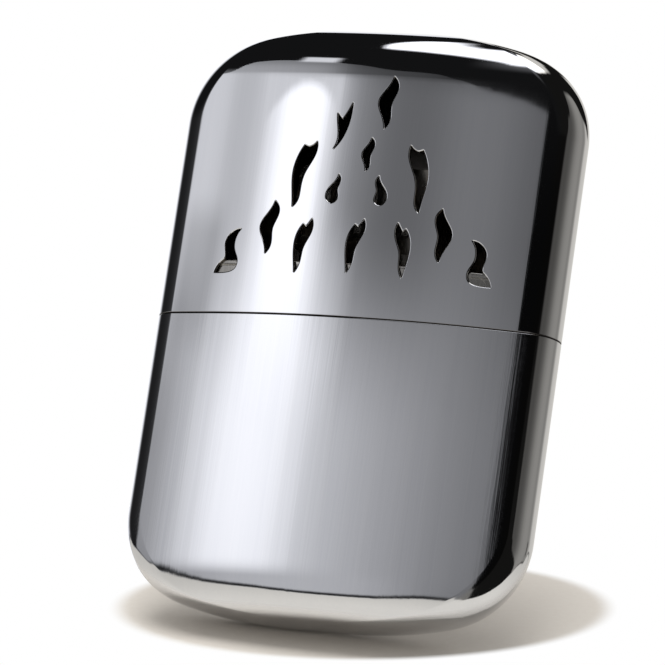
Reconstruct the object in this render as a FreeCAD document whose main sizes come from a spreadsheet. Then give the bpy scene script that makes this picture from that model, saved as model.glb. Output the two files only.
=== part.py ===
import FreeCAD, Part
import math
import os

import Sketcher
from FreeCAD import Placement, Rotation, Vector

# Catalytic hand warmer: a drawn two-part pocket case, fuel tank and catalytic burner.
# The case stands upright: +Z runs up its height, X across its width and the vented face
# looks towards -Y. The origin is the middle of the bottom rest face. Millimetres.

doc = FreeCAD.newDocument("HandWarmer")

# ---------------------------------------------------------------- driving sizes
SIZES = (
    ("body_width", 68.0, "case, across X"),
    ("body_depth", 17.0, "case, face to face at the middle"),
    ("body_height", 96.5, "case, closed, over both ends"),
    ("seam_height", 48.25, "rim of the tank half, where the lid starts"),
    ("side_radius", 5.0, "round of the narrow sides, seen from above"),
    ("corner_radius", 14.5, "four corners, seen from the front"),
    ("shoulder_radius", 61.5, "slight arch of the two ends, seen from the front"),
    ("end_flat", 16.0, "flat length in the middle of each end"),
    ("edge_rise", 6.0, "round from the faces into the ends, along Z"),
    ("edge_run", 4.0, "the same round, along Y"),
    ("shell_wall", 0.5, "drawn sheet of both case halves"),
    ("rim_break", 0.2, "broken outer edge of both rims at the seam"),
    ("vent_rise", 6.7, "lowest vents above the seam"),
    ("vent_spread", 46.8, "vents, across X from toe to toe of the two hooks"),
    ("collar_fit", 0.08, "running gap between collar and case, each side"),
    ("collar_wall", 0.5, "sheet of the inner collar"),
    ("collar_rise", 9.0, "collar standing above the seam"),
    ("collar_seat", 6.0, "collar held inside the tank half"),
    ("plate_drop", 5.0, "tank top plate below the collar's edge"),
    ("plate_wall", 0.5, "sheet of the tank top plate"),
    ("skirt_depth", 2.5, "turned-down edge of the tank top plate"),
    ("neck_length", 22.0, "filler neck, outside, along X"),
    ("neck_depth", 9.0, "filler neck, outside, along Y"),
    ("neck_wall", 0.4, "sheet of the filler neck"),
    ("neck_rise", 5.0, "filler neck above the top plate"),
    ("neck_flange", 1.5, "flange of the neck under the top plate"),
    ("felt_recess", 0.5, "felt plug below the top plate's upper face"),
    ("soft_gap", 0.3, "slack round the wadding, felt and mat"),
    ("socket_fit", 0.08, "running gap between burner socket and neck, each side"),
    ("socket_wall", 0.4, "sheet of the burner socket"),
    ("socket_height", 7.6, "burner socket, outside"),
    ("slit_width", 0.6, "slits that make the socket's long sides springy"),
    ("slit_height", 4.5, "height of those slits from the socket's lower edge"),
    ("slit_spacing", 13.0, "distance between the two slits of one side"),
    ("frame_width", 24.0, "burner frame, along X"),
    ("frame_depth", 9.2, "burner frame, both halves together"),
    ("frame_height", 14.2, "burner frame above the socket"),
    ("frame_wall", 0.5, "sheet of the burner frame"),
    ("frame_corner", 1.6, "rounded corners of the burner frame"),
    ("window_width", 16.4, "window in each half of the frame"),
    ("window_height", 9.4, "window in each half of the frame"),
    ("window_corner", 1.4, "rounded corners of the windows"),
    ("screen_lap", 1.6, "screen hidden behind the frame on each side"),
    ("screen_wall", 0.25, "sheet of the slotted screens"),
    ("slot_width", 1.2, "slots of a screen"),
    ("slot_pitch", 2.0, "from slot to slot"),
    ("slot_count", 8, "slots in one screen"),
    ("slot_margin", 0.9, "from the window's edge to the ends of the slots"),
    ("mat_thickness", 1.6, "folded catalyst mat, one layer"),
    ("mat_width", 20.4, "catalyst mat, along X"),
    ("core_width", 18.0, "fibre core inside the fold, along X"),
    ("core_reach", 2.0, "fibre core standing down into the socket"),
)

sheet = doc.addObject("Spreadsheet::Sheet", "Sizes")
for row, (alias, value, meaning) in enumerate(SIZES, start=1):
    sheet.set(f"A{row}", alias)
    sheet.set(f"B{row}", str(value))
    sheet.set(f"C{row}", meaning)
    sheet.setAlias(f"B{row}", alias)
doc.recompute()


def size(alias):
    """The number in one named cell."""
    return float(getattr(sheet, alias))


# ---------------------------------------------------------------- levels, as formulas of the cells
SEAM = "Sizes.seam_height"
COLLAR_TOP = "(Sizes.seam_height + Sizes.collar_rise)"
PLATE_TOP = f"({COLLAR_TOP} - Sizes.plate_drop)"
PLATE_UNDER = f"({PLATE_TOP} - Sizes.plate_wall)"
NECK_TOP = f"({PLATE_TOP} + Sizes.neck_rise)"
NECK_FOOT = f"({PLATE_UNDER} - Sizes.neck_wall)"
SOCKET_TOP = f"({PLATE_TOP} + Sizes.socket_height)"
FRAME_TOP = f"({SOCKET_TOP} + Sizes.frame_height)"
WADDING_TOP = f"({PLATE_TOP} - Sizes.skirt_depth - Sizes.soft_gap)"


# ---------------------------------------------------------------- bodies, sketches, features
def new_body(label):
    body = doc.addObject("PartDesign::Body", label)
    body.Label = label
    return body


def flat_sketch(body, name, role="XY_Plane", offset="0"):
    """An empty sketch on one of the body's own origin planes, moved along that plane's normal."""
    sketch = body.newObject("Sketcher::SketchObject", name)
    plane = next(f for f in body.Origin.OriginFeatures if f.Role == role)
    sketch.AttachmentSupport = [(plane, "")]
    sketch.MapMode = "FlatFace"
    sketch.setExpression("AttachmentOffset.Base.z", offset)
    return sketch


def bind(sketch, kind, *where, name, formula):
    """A driving dimension of a sketch, tied to a formula of the cells."""
    value = sketch.evalExpression(formula)
    index = sketch.addConstraint(Sketcher.Constraint(kind, *where, float(value)))
    sketch.renameConstraint(index, name)
    sketch.setExpression(f"Constraints.{name}", formula)


def oval(body, name, height, half_width, half_depth, face_radius):
    """Four arcs, tangent all round: two long face arcs and two small side arcs.

    With side radius e, the face arc's centre lies face_radius - half_depth behind the middle,
    and tangency gives e = (2 R d - w^2 - d^2) / (2 (R - w)).
    """
    sketch = flat_sketch(body, name, offset=height)
    e_formula = ("(2 * FaceRadius * HalfDepth - HalfWidth^2 - HalfDepth^2)"
                 " / (2 * (FaceRadius - HalfWidth))")
    for prop, formula in (("HalfWidth", half_width), ("HalfDepth", half_depth),
                          ("FaceRadius", face_radius), ("SideRadius", e_formula)):
        sketch.addProperty("App::PropertyFloat", prop, "Oval")
        setattr(sketch, prop, float(sketch.evalExpression(formula)))
        sketch.setExpression(prop, formula)
    w, d, R, e = sketch.HalfWidth, sketch.HalfDepth, sketch.FaceRadius, sketch.SideRadius
    joint_x = R * (w - e) / (R - e)
    joint_y = e * (R - d) / (R - e)
    side = math.atan2(joint_y, joint_x - (w - e))
    face = math.atan2(joint_y + R - d, joint_x)
    for centre, radius, start, end in (
            (Vector(w - e, 0), e, -side, side),
            (Vector(0, d - R), R, face, math.pi - face),
            (Vector(e - w, 0), e, math.pi - side, math.pi + side),
            (Vector(0, R - d), R, math.pi + face, 2 * math.pi - face)):
        circle = Part.Circle(centre, Vector(0, 0, 1), radius)
        sketch.addGeometry(Part.ArcOfCircle(circle, start, end), False)
    for here in range(4):
        following = (here + 1) % 4
        sketch.addConstraint(Sketcher.Constraint("Coincident", here, 2, following, 1))
    sketch.addConstraint(Sketcher.Constraint("Symmetric", 0, 2, 1, 2, -2))
    sketch.addConstraint(Sketcher.Constraint("Symmetric", 0, 2, 0, 1, -1))
    sketch.addConstraint(Sketcher.Constraint("Symmetric", 1, 2, 2, 2, -1))
    sketch.addConstraint(Sketcher.Constraint("Equal", 0, 2))
    sketch.addConstraint(Sketcher.Constraint("Equal", 1, 3))
    bind(sketch, "DistanceX", -1, 1, 0, 2, name="joint_x",
         formula="FaceRadius * (HalfWidth - SideRadius) / (FaceRadius - SideRadius)")
    bind(sketch, "DistanceY", -1, 1, 0, 2, name="joint_y",
         formula="SideRadius * (FaceRadius - HalfDepth) / (FaceRadius - SideRadius)")
    bind(sketch, "Radius", 3, name="face_radius", formula="FaceRadius")
    bind(sketch, "Radius", 0, name="side_radius", formula="SideRadius")
    return sketch


def slot(body, name, height, half_length, half_depth):
    """Two straight long sides and two half-round ends, centred on the body's axis."""
    sketch = flat_sketch(body, name, offset=height)
    a = float(sketch.evalExpression(half_length))
    r = float(sketch.evalExpression(half_depth))
    up = Vector(0, 0, 1)
    quarter = math.pi / 2
    right, left = Part.Circle(Vector(a - r, 0), up, r), Part.Circle(Vector(r - a, 0), up, r)
    sketch.addGeometry(Part.ArcOfCircle(right, -quarter, quarter), False)
    sketch.addGeometry(Part.LineSegment(Vector(a - r, r), Vector(r - a, r)), False)
    sketch.addGeometry(Part.ArcOfCircle(left, quarter, 3 * quarter), False)
    sketch.addGeometry(Part.LineSegment(Vector(r - a, -r), Vector(a - r, -r)), False)
    for here in range(4):
        sketch.addConstraint(Sketcher.Constraint("Tangent", here, 2, (here + 1) % 4, 1))
    sketch.addConstraint(Sketcher.Constraint("Symmetric", 0, 3, 2, 3, -1, 1))
    sketch.addConstraint(Sketcher.Constraint("PointOnObject", 0, 3, -1))
    sketch.addConstraint(Sketcher.Constraint("Equal", 0, 2))
    bind(sketch, "DistanceX", -1, 1, 0, 3, name="centre", formula=f"{half_length} - {half_depth}")
    bind(sketch, "Radius", 0, name="round_end", formula=half_depth)
    return sketch


def rounded_rectangle(sketch, half_width, low, high, corner):
    """Four lines and four corner arcs, even about the sketch's upright axis, from low to high."""
    w, bottom, top, r = (float(sketch.evalExpression(f)) for f in (half_width, low, high, corner))
    first = sketch.GeometryCount
    quarter = math.pi / 2
    corners = ((w - r, bottom + r, 3), (w - r, top - r, 0), (r - w, top - r, 1), (r - w, bottom + r, 2))
    for x, y, turn in corners:
        circle = Part.Circle(Vector(x, y), Vector(0, 0, 1), r)
        sketch.addGeometry(Part.ArcOfCircle(circle, turn * quarter, (turn + 1) * quarter), False)
    for start, end in ((Vector(w, bottom + r), Vector(w, top - r)),
                       (Vector(w - r, top), Vector(r - w, top)),
                       (Vector(-w, top - r), Vector(-w, bottom + r)),
                       (Vector(r - w, bottom), Vector(w - r, bottom))):
        sketch.addGeometry(Part.LineSegment(start, end), False)
    for k in range(4):
        arc, line, following = first + k, first + 4 + k, first + (k + 1) % 4
        sketch.addConstraint(Sketcher.Constraint("Tangent", arc, 2, line, 1))
        sketch.addConstraint(Sketcher.Constraint("Tangent", line, 2, following, 1))
        direction = "Horizontal" if k % 2 else "Vertical"
        sketch.addConstraint(Sketcher.Constraint(direction, line))
    for k in range(2):
        sketch.addConstraint(Sketcher.Constraint("Equal", first + k, first + k + 1))
    sketch.addConstraint(Sketcher.Constraint("Symmetric", first, 3, first + 3, 3, -2))
    bind(sketch, "DistanceX", -1, 1, first, 3, name="half_width", formula=f"{half_width} - {corner}")
    bind(sketch, "DistanceY", -1, 1, first, 3, name="low", formula=f"{low} + {corner}")
    bind(sketch, "DistanceY", -1, 1, first + 1, 3, name="high", formula=f"{high} - {corner}")
    bind(sketch, "Radius", first, name="corner", formula=corner)
    return sketch


def rectangle(sketch, half_width, low, high):
    """Four lines, even about the sketch's upright axis, from low to high."""
    w, bottom, top = (float(sketch.evalExpression(f)) for f in (half_width, low, high))
    corners = (Vector(w, bottom), Vector(w, top), Vector(-w, top), Vector(-w, bottom))
    for here in range(4):
        sketch.addGeometry(Part.LineSegment(corners[here], corners[(here + 1) % 4]), False)
    for here in range(4):
        sketch.addConstraint(Sketcher.Constraint("Coincident", here, 2, (here + 1) % 4, 1))
    sketch.addConstraint(Sketcher.Constraint("Symmetric", 0, 2, 1, 2, -2))
    sketch.addConstraint(Sketcher.Constraint("Symmetric", 0, 1, 2, 2, -2))
    bind(sketch, "DistanceX", -1, 1, 0, 1, name="half_width", formula=half_width)
    bind(sketch, "DistanceY", -1, 1, 0, 1, name="low", formula=low)
    bind(sketch, "DistanceY", -1, 1, 0, 2, name="high", formula=high)
    sketch.addConstraint(Sketcher.Constraint("Vertical", 0))
    return sketch


def pad(body, sketch, length, reverse=False, symmetric=False):
    feature = body.newObject("PartDesign::Pad", f"{sketch.Name}_pad")
    feature.Profile = sketch
    feature.Reversed = reverse
    if symmetric:
        feature.SideType = "Symmetric"
    feature.setExpression("Length", length)
    return feature


def pocket(body, sketch, length=None, reverse=False, symmetric=False):
    """A cut along the sketch's normal, backwards unless reversed, right through with no length."""
    feature = body.newObject("PartDesign::Pocket", f"{sketch.Name}_pocket")
    feature.Profile = sketch
    feature.Reversed = reverse
    if symmetric:
        feature.SideType = "Symmetric"
    if length is None:
        feature.Type = "ThroughAll"
    else:
        feature.setExpression("Length", length)
    return feature


def loft(body, kind, sections):
    """Straight from section to section: the sheet keeps its wall, and no bulge comes between them."""
    feature = body.newObject(f"PartDesign::{kind}", f"{sections[0].Name}_loft")
    feature.Profile = sections[0]
    feature.Sections = sections[1:]
    feature.Ruled = True
    return feature


# ---------------------------------------------------------------- the case's shape
FACE_RADIUS = ("((Sizes.body_width / 2 - Sizes.side_radius)^2 + (Sizes.body_depth / 2)^2"
               " - Sizes.side_radius^2) / (Sizes.body_depth - 2 * Sizes.side_radius)")
ARCH_RUN = "(Sizes.body_width / 2 - Sizes.end_flat / 2 - Sizes.corner_radius)"
ARCH_RADII = "(Sizes.shoulder_radius - Sizes.corner_radius)"
# Depth of the corner arcs' centres under the end of the case, where the straight barrel starts.
CORNER_DEPTH = f"(Sizes.shoulder_radius - sqrt({ARCH_RADII}^2 - {ARCH_RUN}^2))"
# Steps along the corner arc and along the edge round: of the drawn sheet, and of the plain wadding.
SHEET_STEPS = (5, 7)
WADDING_STEPS = (1, 1)


def case_oval(body, name, height, inset):
    """The barrel's section, moved in from the outer skin by inset."""
    return oval(body, name, height, f"(Sizes.body_width / 2 - {inset})",
                f"(Sizes.body_depth / 2 - {inset})", f"({FACE_RADIUS} - {inset})")


def end_sections(body, name, inset, top, steps):
    """Sections through one rounded end of the case, from the barrel to the flat in its middle.

    Seen from the front the outline is a corner arc, then the flatter shoulder arc, then the flat.
    Seen from the side a quarter of an ellipse runs from each face into the end, and its
    sections crowd towards the flat, where the width changes fastest.
    """
    corner_steps, edge_steps = steps
    number = sheet.evalExpression
    corner, shoulder = f"(Sizes.corner_radius - {inset})", f"(Sizes.shoulder_radius - {inset})"
    rise, run = f"(Sizes.edge_rise - {inset})", f"(Sizes.edge_run - {inset})"
    join_cosine = f"(Sizes.shoulder_radius - {CORNER_DEPTH}) / {ARCH_RADII}"
    join_depth = float(number(f"{CORNER_DEPTH} - {corner} * {join_cosine}"))
    stations = []
    for step in range(corner_steps):
        share = step / corner_steps
        depth = f"({CORNER_DEPTH} - ({CORNER_DEPTH} - Sizes.edge_rise) * {share})"
        stations.append((depth, "Sizes.body_depth / 2 - " + inset))
    for step in range(edge_steps + 1):
        turn = 90 * math.sin(math.pi / 2 * step / edge_steps)
        depth = f"(Sizes.edge_rise - {rise} * sin({turn}deg))"
        stations.append((depth, f"Sizes.body_depth / 2 - Sizes.edge_run + {run} * cos({turn}deg)"))
    sketches = []
    for index, (depth, half_depth) in enumerate(stations):
        if index == len(stations) - 1:
            half_width = "Sizes.end_flat / 2"
        elif float(number(depth)) < join_depth:
            half_width = (f"Sizes.end_flat / 2"
                          f" + sqrt({shoulder}^2 - (Sizes.shoulder_radius - {depth})^2)")
        else:
            half_width = (f"Sizes.body_width / 2 - Sizes.corner_radius"
                          f" + sqrt({corner}^2 - ({CORNER_DEPTH} - {depth})^2)")
        height = f"(Sizes.body_height - {depth})" if top else depth
        sketches.append(oval(body, f"{name}_{index}", height, f"({half_width})",
                             f"({half_depth})", f"({FACE_RADIUS} - {inset})"))
    return sketches


def case_half(label, top):
    """One drawn cup of the case, open at the seam: the lid when top is set, else the tank half."""
    body = new_body(label)
    barrel = f"(Sizes.body_height - {CORNER_DEPTH} - {SEAM})" if top else f"({SEAM} - {CORNER_DEPTH})"
    pad(body, case_oval(body, f"{label}_outer_mouth", SEAM, "0"), barrel, reverse=not top)
    loft(body, "AdditiveLoft", end_sections(body, f"{label}_outer", "0", top, SHEET_STEPS))
    pocket(body, case_oval(body, f"{label}_inner_mouth", SEAM, "Sizes.shell_wall"), barrel, reverse=top)
    inner = end_sections(body, f"{label}_inner", "Sizes.shell_wall", top, SHEET_STEPS)
    loft(body, "SubtractiveLoft", inner)
    return body


def break_rim(body):
    """Break the outer edge of a case half's rim, so that the closed seam shows as a fine groove."""
    doc.recompute()
    cup = body.Tip
    half_width, half_depth = size("body_width") / 2, size("body_depth") / 2
    margin = size("shell_wall") / 2
    names = []
    for number, edge in enumerate(cup.Shape.Edges, start=1):
        box = edge.BoundBox
        middle = edge.valueAt((edge.FirstParameter + edge.LastParameter) / 2)
        on_rim = box.ZLength < 1e-6 and abs(middle.z - size("seam_height")) < 1e-6
        if on_rim and (abs(middle.x) > half_width - margin or abs(middle.y) > half_depth - margin):
            names.append(f"Edge{number}")
    rim = body.newObject("PartDesign::Chamfer", f"{body.Label}_rim")
    rim.Base = (cup, names)
    rim.setExpression("Size", "Sizes.rim_break")


# ---------------------------------------------------------------- vents
# Each outline is a run of smooth sides that meet at sharp tips, measured from its foot or toe,
# with +x towards the middle of the case, in mm as drawn for vents DRAWN_SPREAD wide.
DRAWN_SPREAD = 46.8
FLAMES = {
    "s_flame": (((0, 0), (0.7, 1.5), (0.6, 4.1), (1.35, 6.6), (0.5, 8.6)),
                ((0.5, 8.6), (-0.2, 7.0), (-1.5, 4.5), (-0.5, 1.8), (0, 0))),
    "split_flame": (((0, 0), (1.2, 1.8), (2.0, 4.4), (2.2, 7.6)),
                    ((2.2, 7.6), (1.5, 6.0), (0.8, 4.8)),
                    ((0.8, 4.8), (-0.1, 5.8)),
                    ((-0.1, 5.8), (0.2, 4.0), (0.5, 2.3), (0, 0))),
    "tall_fork": (((0, 0), (0.8, 2.5), (1.4, 5.6), (2.6, 8.7), (2.6, 10.7)),
                  ((2.6, 10.7), (1.35, 9.7)),
                  ((1.35, 9.7), (0.7, 10.1)),
                  ((0.7, 10.1), (-0.7, 6.2), (-0.4, 2.6), (0, 0))),
    "short_fork": (((0, 0), (0.65, 1.6), (0.9, 4.0), (2.0, 6.9), (1.8, 8.8)),
                   ((1.8, 8.8), (1.3, 8.0), (0.9, 7.4)),
                   ((0.9, 7.4), (0.4, 7.9)),
                   ((0.4, 7.9), (-0.6, 5.3), (-0.4, 2.4), (0, 0))),
    "drop": (((0.6, 4.7), (0, 3.4), (-1.0, 1.9), (-0.9, 0.5), (0, 0), (0.8, 0.7), (0.6, 2.3),
              (0.95, 3.6), (0.6, 4.7)),),
    "hook": (((0, 0), (1.9, 0.05), (3.6, 0.8), (3.8, 1.9), (3.0, 3.8), (2.9, 5.4), (3.7, 7.2)),
             ((3.7, 7.2), (2.2, 6.6), (1.3, 5.0), (1.6, 3.3), (1.6, 2.3)),
             ((1.6, 2.3), (0.8, 1.6), (0, 0))),
}
# kind, foot from the middle line, foot above the lowest vents, share of full size, in a pair
VENTS = (
    ("s_flame", 2.7, 24.5, 1.0, False),
    ("split_flame", -5.4, 20.9, 1.0, False),
    ("s_flame", 0.6, 17.4, 0.63, False),
    ("tall_fork", -10.7, 11.1, 1.0, True),
    ("drop", -4.0, 11.9, 1.0, True),
    ("s_flame", -14.7, 3.3, 1.0, True),
    ("short_fork", -9.1, 0.3, 1.0, True),
    ("short_fork", -0.2, 0.6, 1.0, False),
    ("hook", -23.4, 0.0, 1.0, True),
)


def flame_outline(kind, foot_x, foot_y, share, side):
    """The smooth sides of one vent, mirrored to the other half of the face when side is -1."""
    grow = size("vent_spread") / DRAWN_SPREAD
    curves = []
    for knots in FLAMES[kind]:
        points = [Vector(side * grow * (foot_x + share * x), grow * (foot_y + share * y))
                  for x, y in knots]
        if len(points) == 2:
            curves.append(Part.LineSegment(*points))
        else:
            spline = Part.BSplineCurve()
            spline.interpolate(points)
            curves.append(spline)
    return curves


def cut_vents(body):
    """Punch the flame-shaped vents through the lid's front wall only."""
    sketch = flat_sketch(body, "vent_outlines", role="XZ_Plane")
    sketch.setExpression("AttachmentOffset.Base.y", f"{SEAM} + Sizes.vent_rise")
    for kind, foot_x, foot_y, share, paired in VENTS:
        for side in (1, -1) if paired else (1,):
            sketch.addGeometry(flame_outline(kind, foot_x, foot_y, share, side), False)
    pocket(body, sketch, reverse=True)


# ---------------------------------------------------------------- case, collar, tank
def lid_shell():
    body = case_half("lid_shell", top=True)
    break_rim(body)
    cut_vents(body)
    return body


def tank_shell():
    body = case_half("tank_shell", top=False)
    break_rim(body)
    return body


def inner_collar():
    """Oval band held in the tank half, standing up inside the lid."""
    body = new_body("inner_collar")
    inset = "(Sizes.shell_wall + Sizes.collar_fit)"
    foot = f"({SEAM} - Sizes.collar_seat)"
    outside = case_oval(body, "collar_outside", foot, inset)
    pad(body, outside, "Sizes.collar_seat + Sizes.collar_rise")
    inside = case_oval(body, "collar_inside", foot, f"({inset} + Sizes.collar_wall)")
    pocket(body, inside, reverse=True)
    return body


COLLAR_INSIDE = "(Sizes.shell_wall + Sizes.collar_fit + Sizes.collar_wall)"
NECK_HALF = ("(Sizes.neck_length / 2)", "(Sizes.neck_depth / 2)")


def neck_slot(body, name, height, grow):
    """The filler neck's outline, grown all round by a formula."""
    half_length, half_depth = NECK_HALF
    return slot(body, name, height, f"({half_length} + {grow})", f"({half_depth} + {grow})")


def tank_top_plate():
    """Sunk plate that closes the tank, with a turned-down edge against the collar."""
    body = new_body("tank_top_plate")
    foot = f"({PLATE_TOP} - Sizes.skirt_depth)"
    pad(body, case_oval(body, "plate_outside", foot, COLLAR_INSIDE), "Sizes.skirt_depth")
    under = case_oval(body, "plate_under", foot, f"({COLLAR_INSIDE} + Sizes.plate_wall)")
    pocket(body, under, "Sizes.skirt_depth - Sizes.plate_wall", reverse=True)
    pocket(body, neck_slot(body, "plate_hole", foot, "0"), reverse=True)
    return body


def filler_neck():
    """Short oval pipe through the top plate, with a flange under it."""
    body = new_body("filler_neck")
    pad(body, neck_slot(body, "neck_flange", NECK_FOOT, "Sizes.neck_flange"), "Sizes.neck_wall")
    pad(body, neck_slot(body, "neck_outside", NECK_FOOT, "0"), f"{NECK_TOP} - {NECK_FOOT}")
    pocket(body, neck_slot(body, "neck_bore", NECK_FOOT, "(-Sizes.neck_wall)"), reverse=True)
    return body


def neck_felt():
    """Felt plug in the neck, resting on the wadding."""
    body = new_body("neck_felt")
    outline = neck_slot(body, "felt_outline", WADDING_TOP, "(-Sizes.neck_wall - Sizes.soft_gap)")
    pad(body, outline, f"{PLATE_TOP} - Sizes.felt_recess - {WADDING_TOP}")
    return body


def tank_wadding():
    """Cotton wadding that fills the tank, stepped in at the collar and towards the rounded end."""
    body = new_body("tank_wadding")
    inset = "(Sizes.shell_wall + Sizes.soft_gap)"
    step = f"({SEAM} - Sizes.collar_seat - Sizes.soft_gap)"
    barrel = case_oval(body, "wadding_barrel", step, inset)
    pad(body, barrel, f"{step} - {CORNER_DEPTH}", reverse=True)
    neck = case_oval(body, "wadding_neck", step, f"({COLLAR_INSIDE} + Sizes.soft_gap)")
    pad(body, neck, f"{WADDING_TOP} - {step}")
    _, shoulder, foot = end_sections(body, "wadding_end", inset, top=False, steps=WADDING_STEPS)
    pad(body, shoulder, f"{CORNER_DEPTH} - Sizes.edge_rise")
    pad(body, foot, f"Sizes.edge_rise - {inset}")
    return body


# ---------------------------------------------------------------- burner
FRAME_HALF_WIDTH = "(Sizes.frame_width / 2)"
WINDOW_MIDDLE = f"({SOCKET_TOP} + Sizes.frame_height / 2)"
SCREEN_FACE = "(Sizes.frame_depth / 2 - Sizes.frame_wall)"
MAT_HALF_DEPTH = f"({SCREEN_FACE} - Sizes.screen_wall - Sizes.soft_gap)"
CORE_HALF_DEPTH = f"({MAT_HALF_DEPTH} - Sizes.mat_thickness - Sizes.soft_gap)"
MAT_TOP = f"({FRAME_TOP} - Sizes.frame_wall - Sizes.soft_gap)"
HALF_TURN = Placement(Vector(0, 0, 0), Rotation(Vector(0, 0, 1), 180))


def core_passage(body, name, height):
    """The opening that the fibre core passes through."""
    sketch = flat_sketch(body, name, offset=height)
    half_depth = f"({CORE_HALF_DEPTH} + Sizes.soft_gap)"
    return rounded_rectangle(sketch, "(Sizes.core_width / 2 + Sizes.soft_gap)",
                             f"(-{half_depth})", half_depth, "Sizes.socket_wall")


def burner_socket():
    """Sleeve that slips over the filler neck, with springy long sides and a turned-in top."""
    body = new_body("burner_socket")
    pad(body, neck_slot(body, "socket_outside", PLATE_TOP, "(Sizes.socket_fit + Sizes.socket_wall)"),
        "Sizes.socket_height")
    pocket(body, neck_slot(body, "socket_bore", PLATE_TOP, "Sizes.socket_fit"),
           "Sizes.socket_height - Sizes.socket_wall", reverse=True)
    pocket(body, core_passage(body, "socket_passage", PLATE_TOP), reverse=True)
    slit = flat_sketch(body, "socket_slit", role="XZ_Plane")
    slit.setExpression("AttachmentOffset.Base.x", "Sizes.slit_spacing / 2")
    rectangle(slit, "Sizes.slit_width / 2", f"{PLATE_TOP} - Sizes.slit_width",
              f"{PLATE_TOP} + Sizes.slit_height")
    cut = pocket(body, slit, symmetric=True)
    doc.recompute()
    pair = body.newObject("PartDesign::LinearPattern", "socket_slits")
    pair.Originals = [cut]
    pair.Direction = (slit, ["H_Axis"])
    pair.Reversed = True
    pair.setExpression("Length", "Sizes.slit_spacing")
    pair.Occurrences = 2
    body.Tip = pair
    return body


def burner_frame(label):
    """One pressed half of the burner's frame: a tray with a window, open at the middle plane."""
    body = new_body(label)
    outline = flat_sketch(body, f"{label}_outline", role="XZ_Plane")
    rounded_rectangle(outline, FRAME_HALF_WIDTH, SOCKET_TOP, FRAME_TOP, "Sizes.frame_corner")
    pad(body, outline, "Sizes.frame_depth / 2")
    hollow = flat_sketch(body, f"{label}_hollow", role="XZ_Plane")
    rounded_rectangle(hollow, f"({FRAME_HALF_WIDTH} - Sizes.frame_wall)",
                      f"({SOCKET_TOP} + Sizes.frame_wall)", f"({FRAME_TOP} - Sizes.frame_wall)",
                      "(Sizes.frame_corner - Sizes.frame_wall)")
    pocket(body, hollow, SCREEN_FACE, reverse=True)
    window = flat_sketch(body, f"{label}_window", role="XZ_Plane")
    rounded_rectangle(window, "(Sizes.window_width / 2)",
                      f"({WINDOW_MIDDLE} - Sizes.window_height / 2)",
                      f"({WINDOW_MIDDLE} + Sizes.window_height / 2)", "Sizes.window_corner")
    pocket(body, window, reverse=True)
    passage = core_passage(body, f"{label}_passage", SOCKET_TOP)
    pocket(body, passage, "Sizes.frame_wall", reverse=True)
    return body


def burner_screen(label):
    """Thin slotted sheet that holds the catalyst mat back behind the window."""
    body = new_body(label)
    inner_face = f"({SCREEN_FACE} - Sizes.screen_wall)"
    half_width = "(Sizes.window_width / 2 + Sizes.screen_lap)"
    half_height = "(Sizes.window_height / 2 + Sizes.screen_lap)"
    plate = flat_sketch(body, f"{label}_outline", role="XZ_Plane", offset=inner_face)
    rounded_rectangle(plate, half_width, f"({WINDOW_MIDDLE} - {half_height})",
                      f"({WINDOW_MIDDLE} + {half_height})", "Sizes.window_corner")
    pad(body, plate, "Sizes.screen_wall")
    slot_reach = "(Sizes.window_height / 2 - Sizes.slot_margin)"
    first = flat_sketch(body, f"{label}_slot", role="XZ_Plane")
    first.setExpression("AttachmentOffset.Base.x", "-Sizes.slot_pitch * (Sizes.slot_count - 1) / 2")
    rectangle(first, "Sizes.slot_width / 2", f"{WINDOW_MIDDLE} - {slot_reach}",
              f"{WINDOW_MIDDLE} + {slot_reach}")
    cut = pocket(body, first, reverse=True)
    doc.recompute()
    row = body.newObject("PartDesign::LinearPattern", f"{label}_slots")
    row.Originals = [cut]
    row.Direction = (first, ["H_Axis"])
    row.setExpression("Length", "Sizes.slot_pitch * (Sizes.slot_count - 1)")
    row.setExpression("Occurrences", "Sizes.slot_count")
    body.Tip = row
    return body


def catalyst_mat():
    """Platinum-coated fibre mat folded over the core: two layers joined along the top."""
    body = new_body("catalyst_mat")
    foot = f"({SOCKET_TOP} + Sizes.frame_wall + Sizes.soft_gap)"
    outside = flat_sketch(body, "mat_outside", role="YZ_Plane")
    rounded_rectangle(outside, MAT_HALF_DEPTH, foot, MAT_TOP, "Sizes.mat_thickness")
    pad(body, outside, "Sizes.mat_width", symmetric=True)
    fold = flat_sketch(body, "mat_fold", role="YZ_Plane")
    rounded_rectangle(fold, f"({CORE_HALF_DEPTH} + Sizes.soft_gap)",
                      f"({foot} - Sizes.mat_thickness)", f"({MAT_TOP} - Sizes.mat_thickness)",
                      "Sizes.soft_gap")
    pocket(body, fold, symmetric=True)
    return body


def fibre_core():
    """Glass-fibre filler inside the folded mat, reaching down into the socket."""
    core = doc.addObject("Part::Box", "fibre_core")
    core.Label = "fibre_core"
    foot = f"({SOCKET_TOP} - Sizes.core_reach)"
    core.setExpression("Length", "Sizes.core_width")
    core.setExpression("Width", f"2 * {CORE_HALF_DEPTH}")
    core.setExpression("Height", f"{MAT_TOP} - Sizes.mat_thickness - Sizes.soft_gap - {foot}")
    core.setExpression("Placement.Base.x", "-Sizes.core_width / 2")
    core.setExpression("Placement.Base.y", f"-{CORE_HALF_DEPTH}")
    core.setExpression("Placement.Base.z", foot)
    return core


# ---------------------------------------------------------------- build, check, write
pieces = [tank_shell(), inner_collar(), tank_top_plate(), filler_neck(), neck_felt(), tank_wadding(),
          burner_socket(), burner_frame("burner_frame_front"), burner_frame("burner_frame_rear"),
          burner_screen("burner_screen_front"), burner_screen("burner_screen_rear"),
          catalyst_mat(), fibre_core(), lid_shell()]
for piece in pieces:
    if piece.Label.endswith("_rear"):
        piece.Placement = HALF_TURN
doc.recompute()

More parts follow.
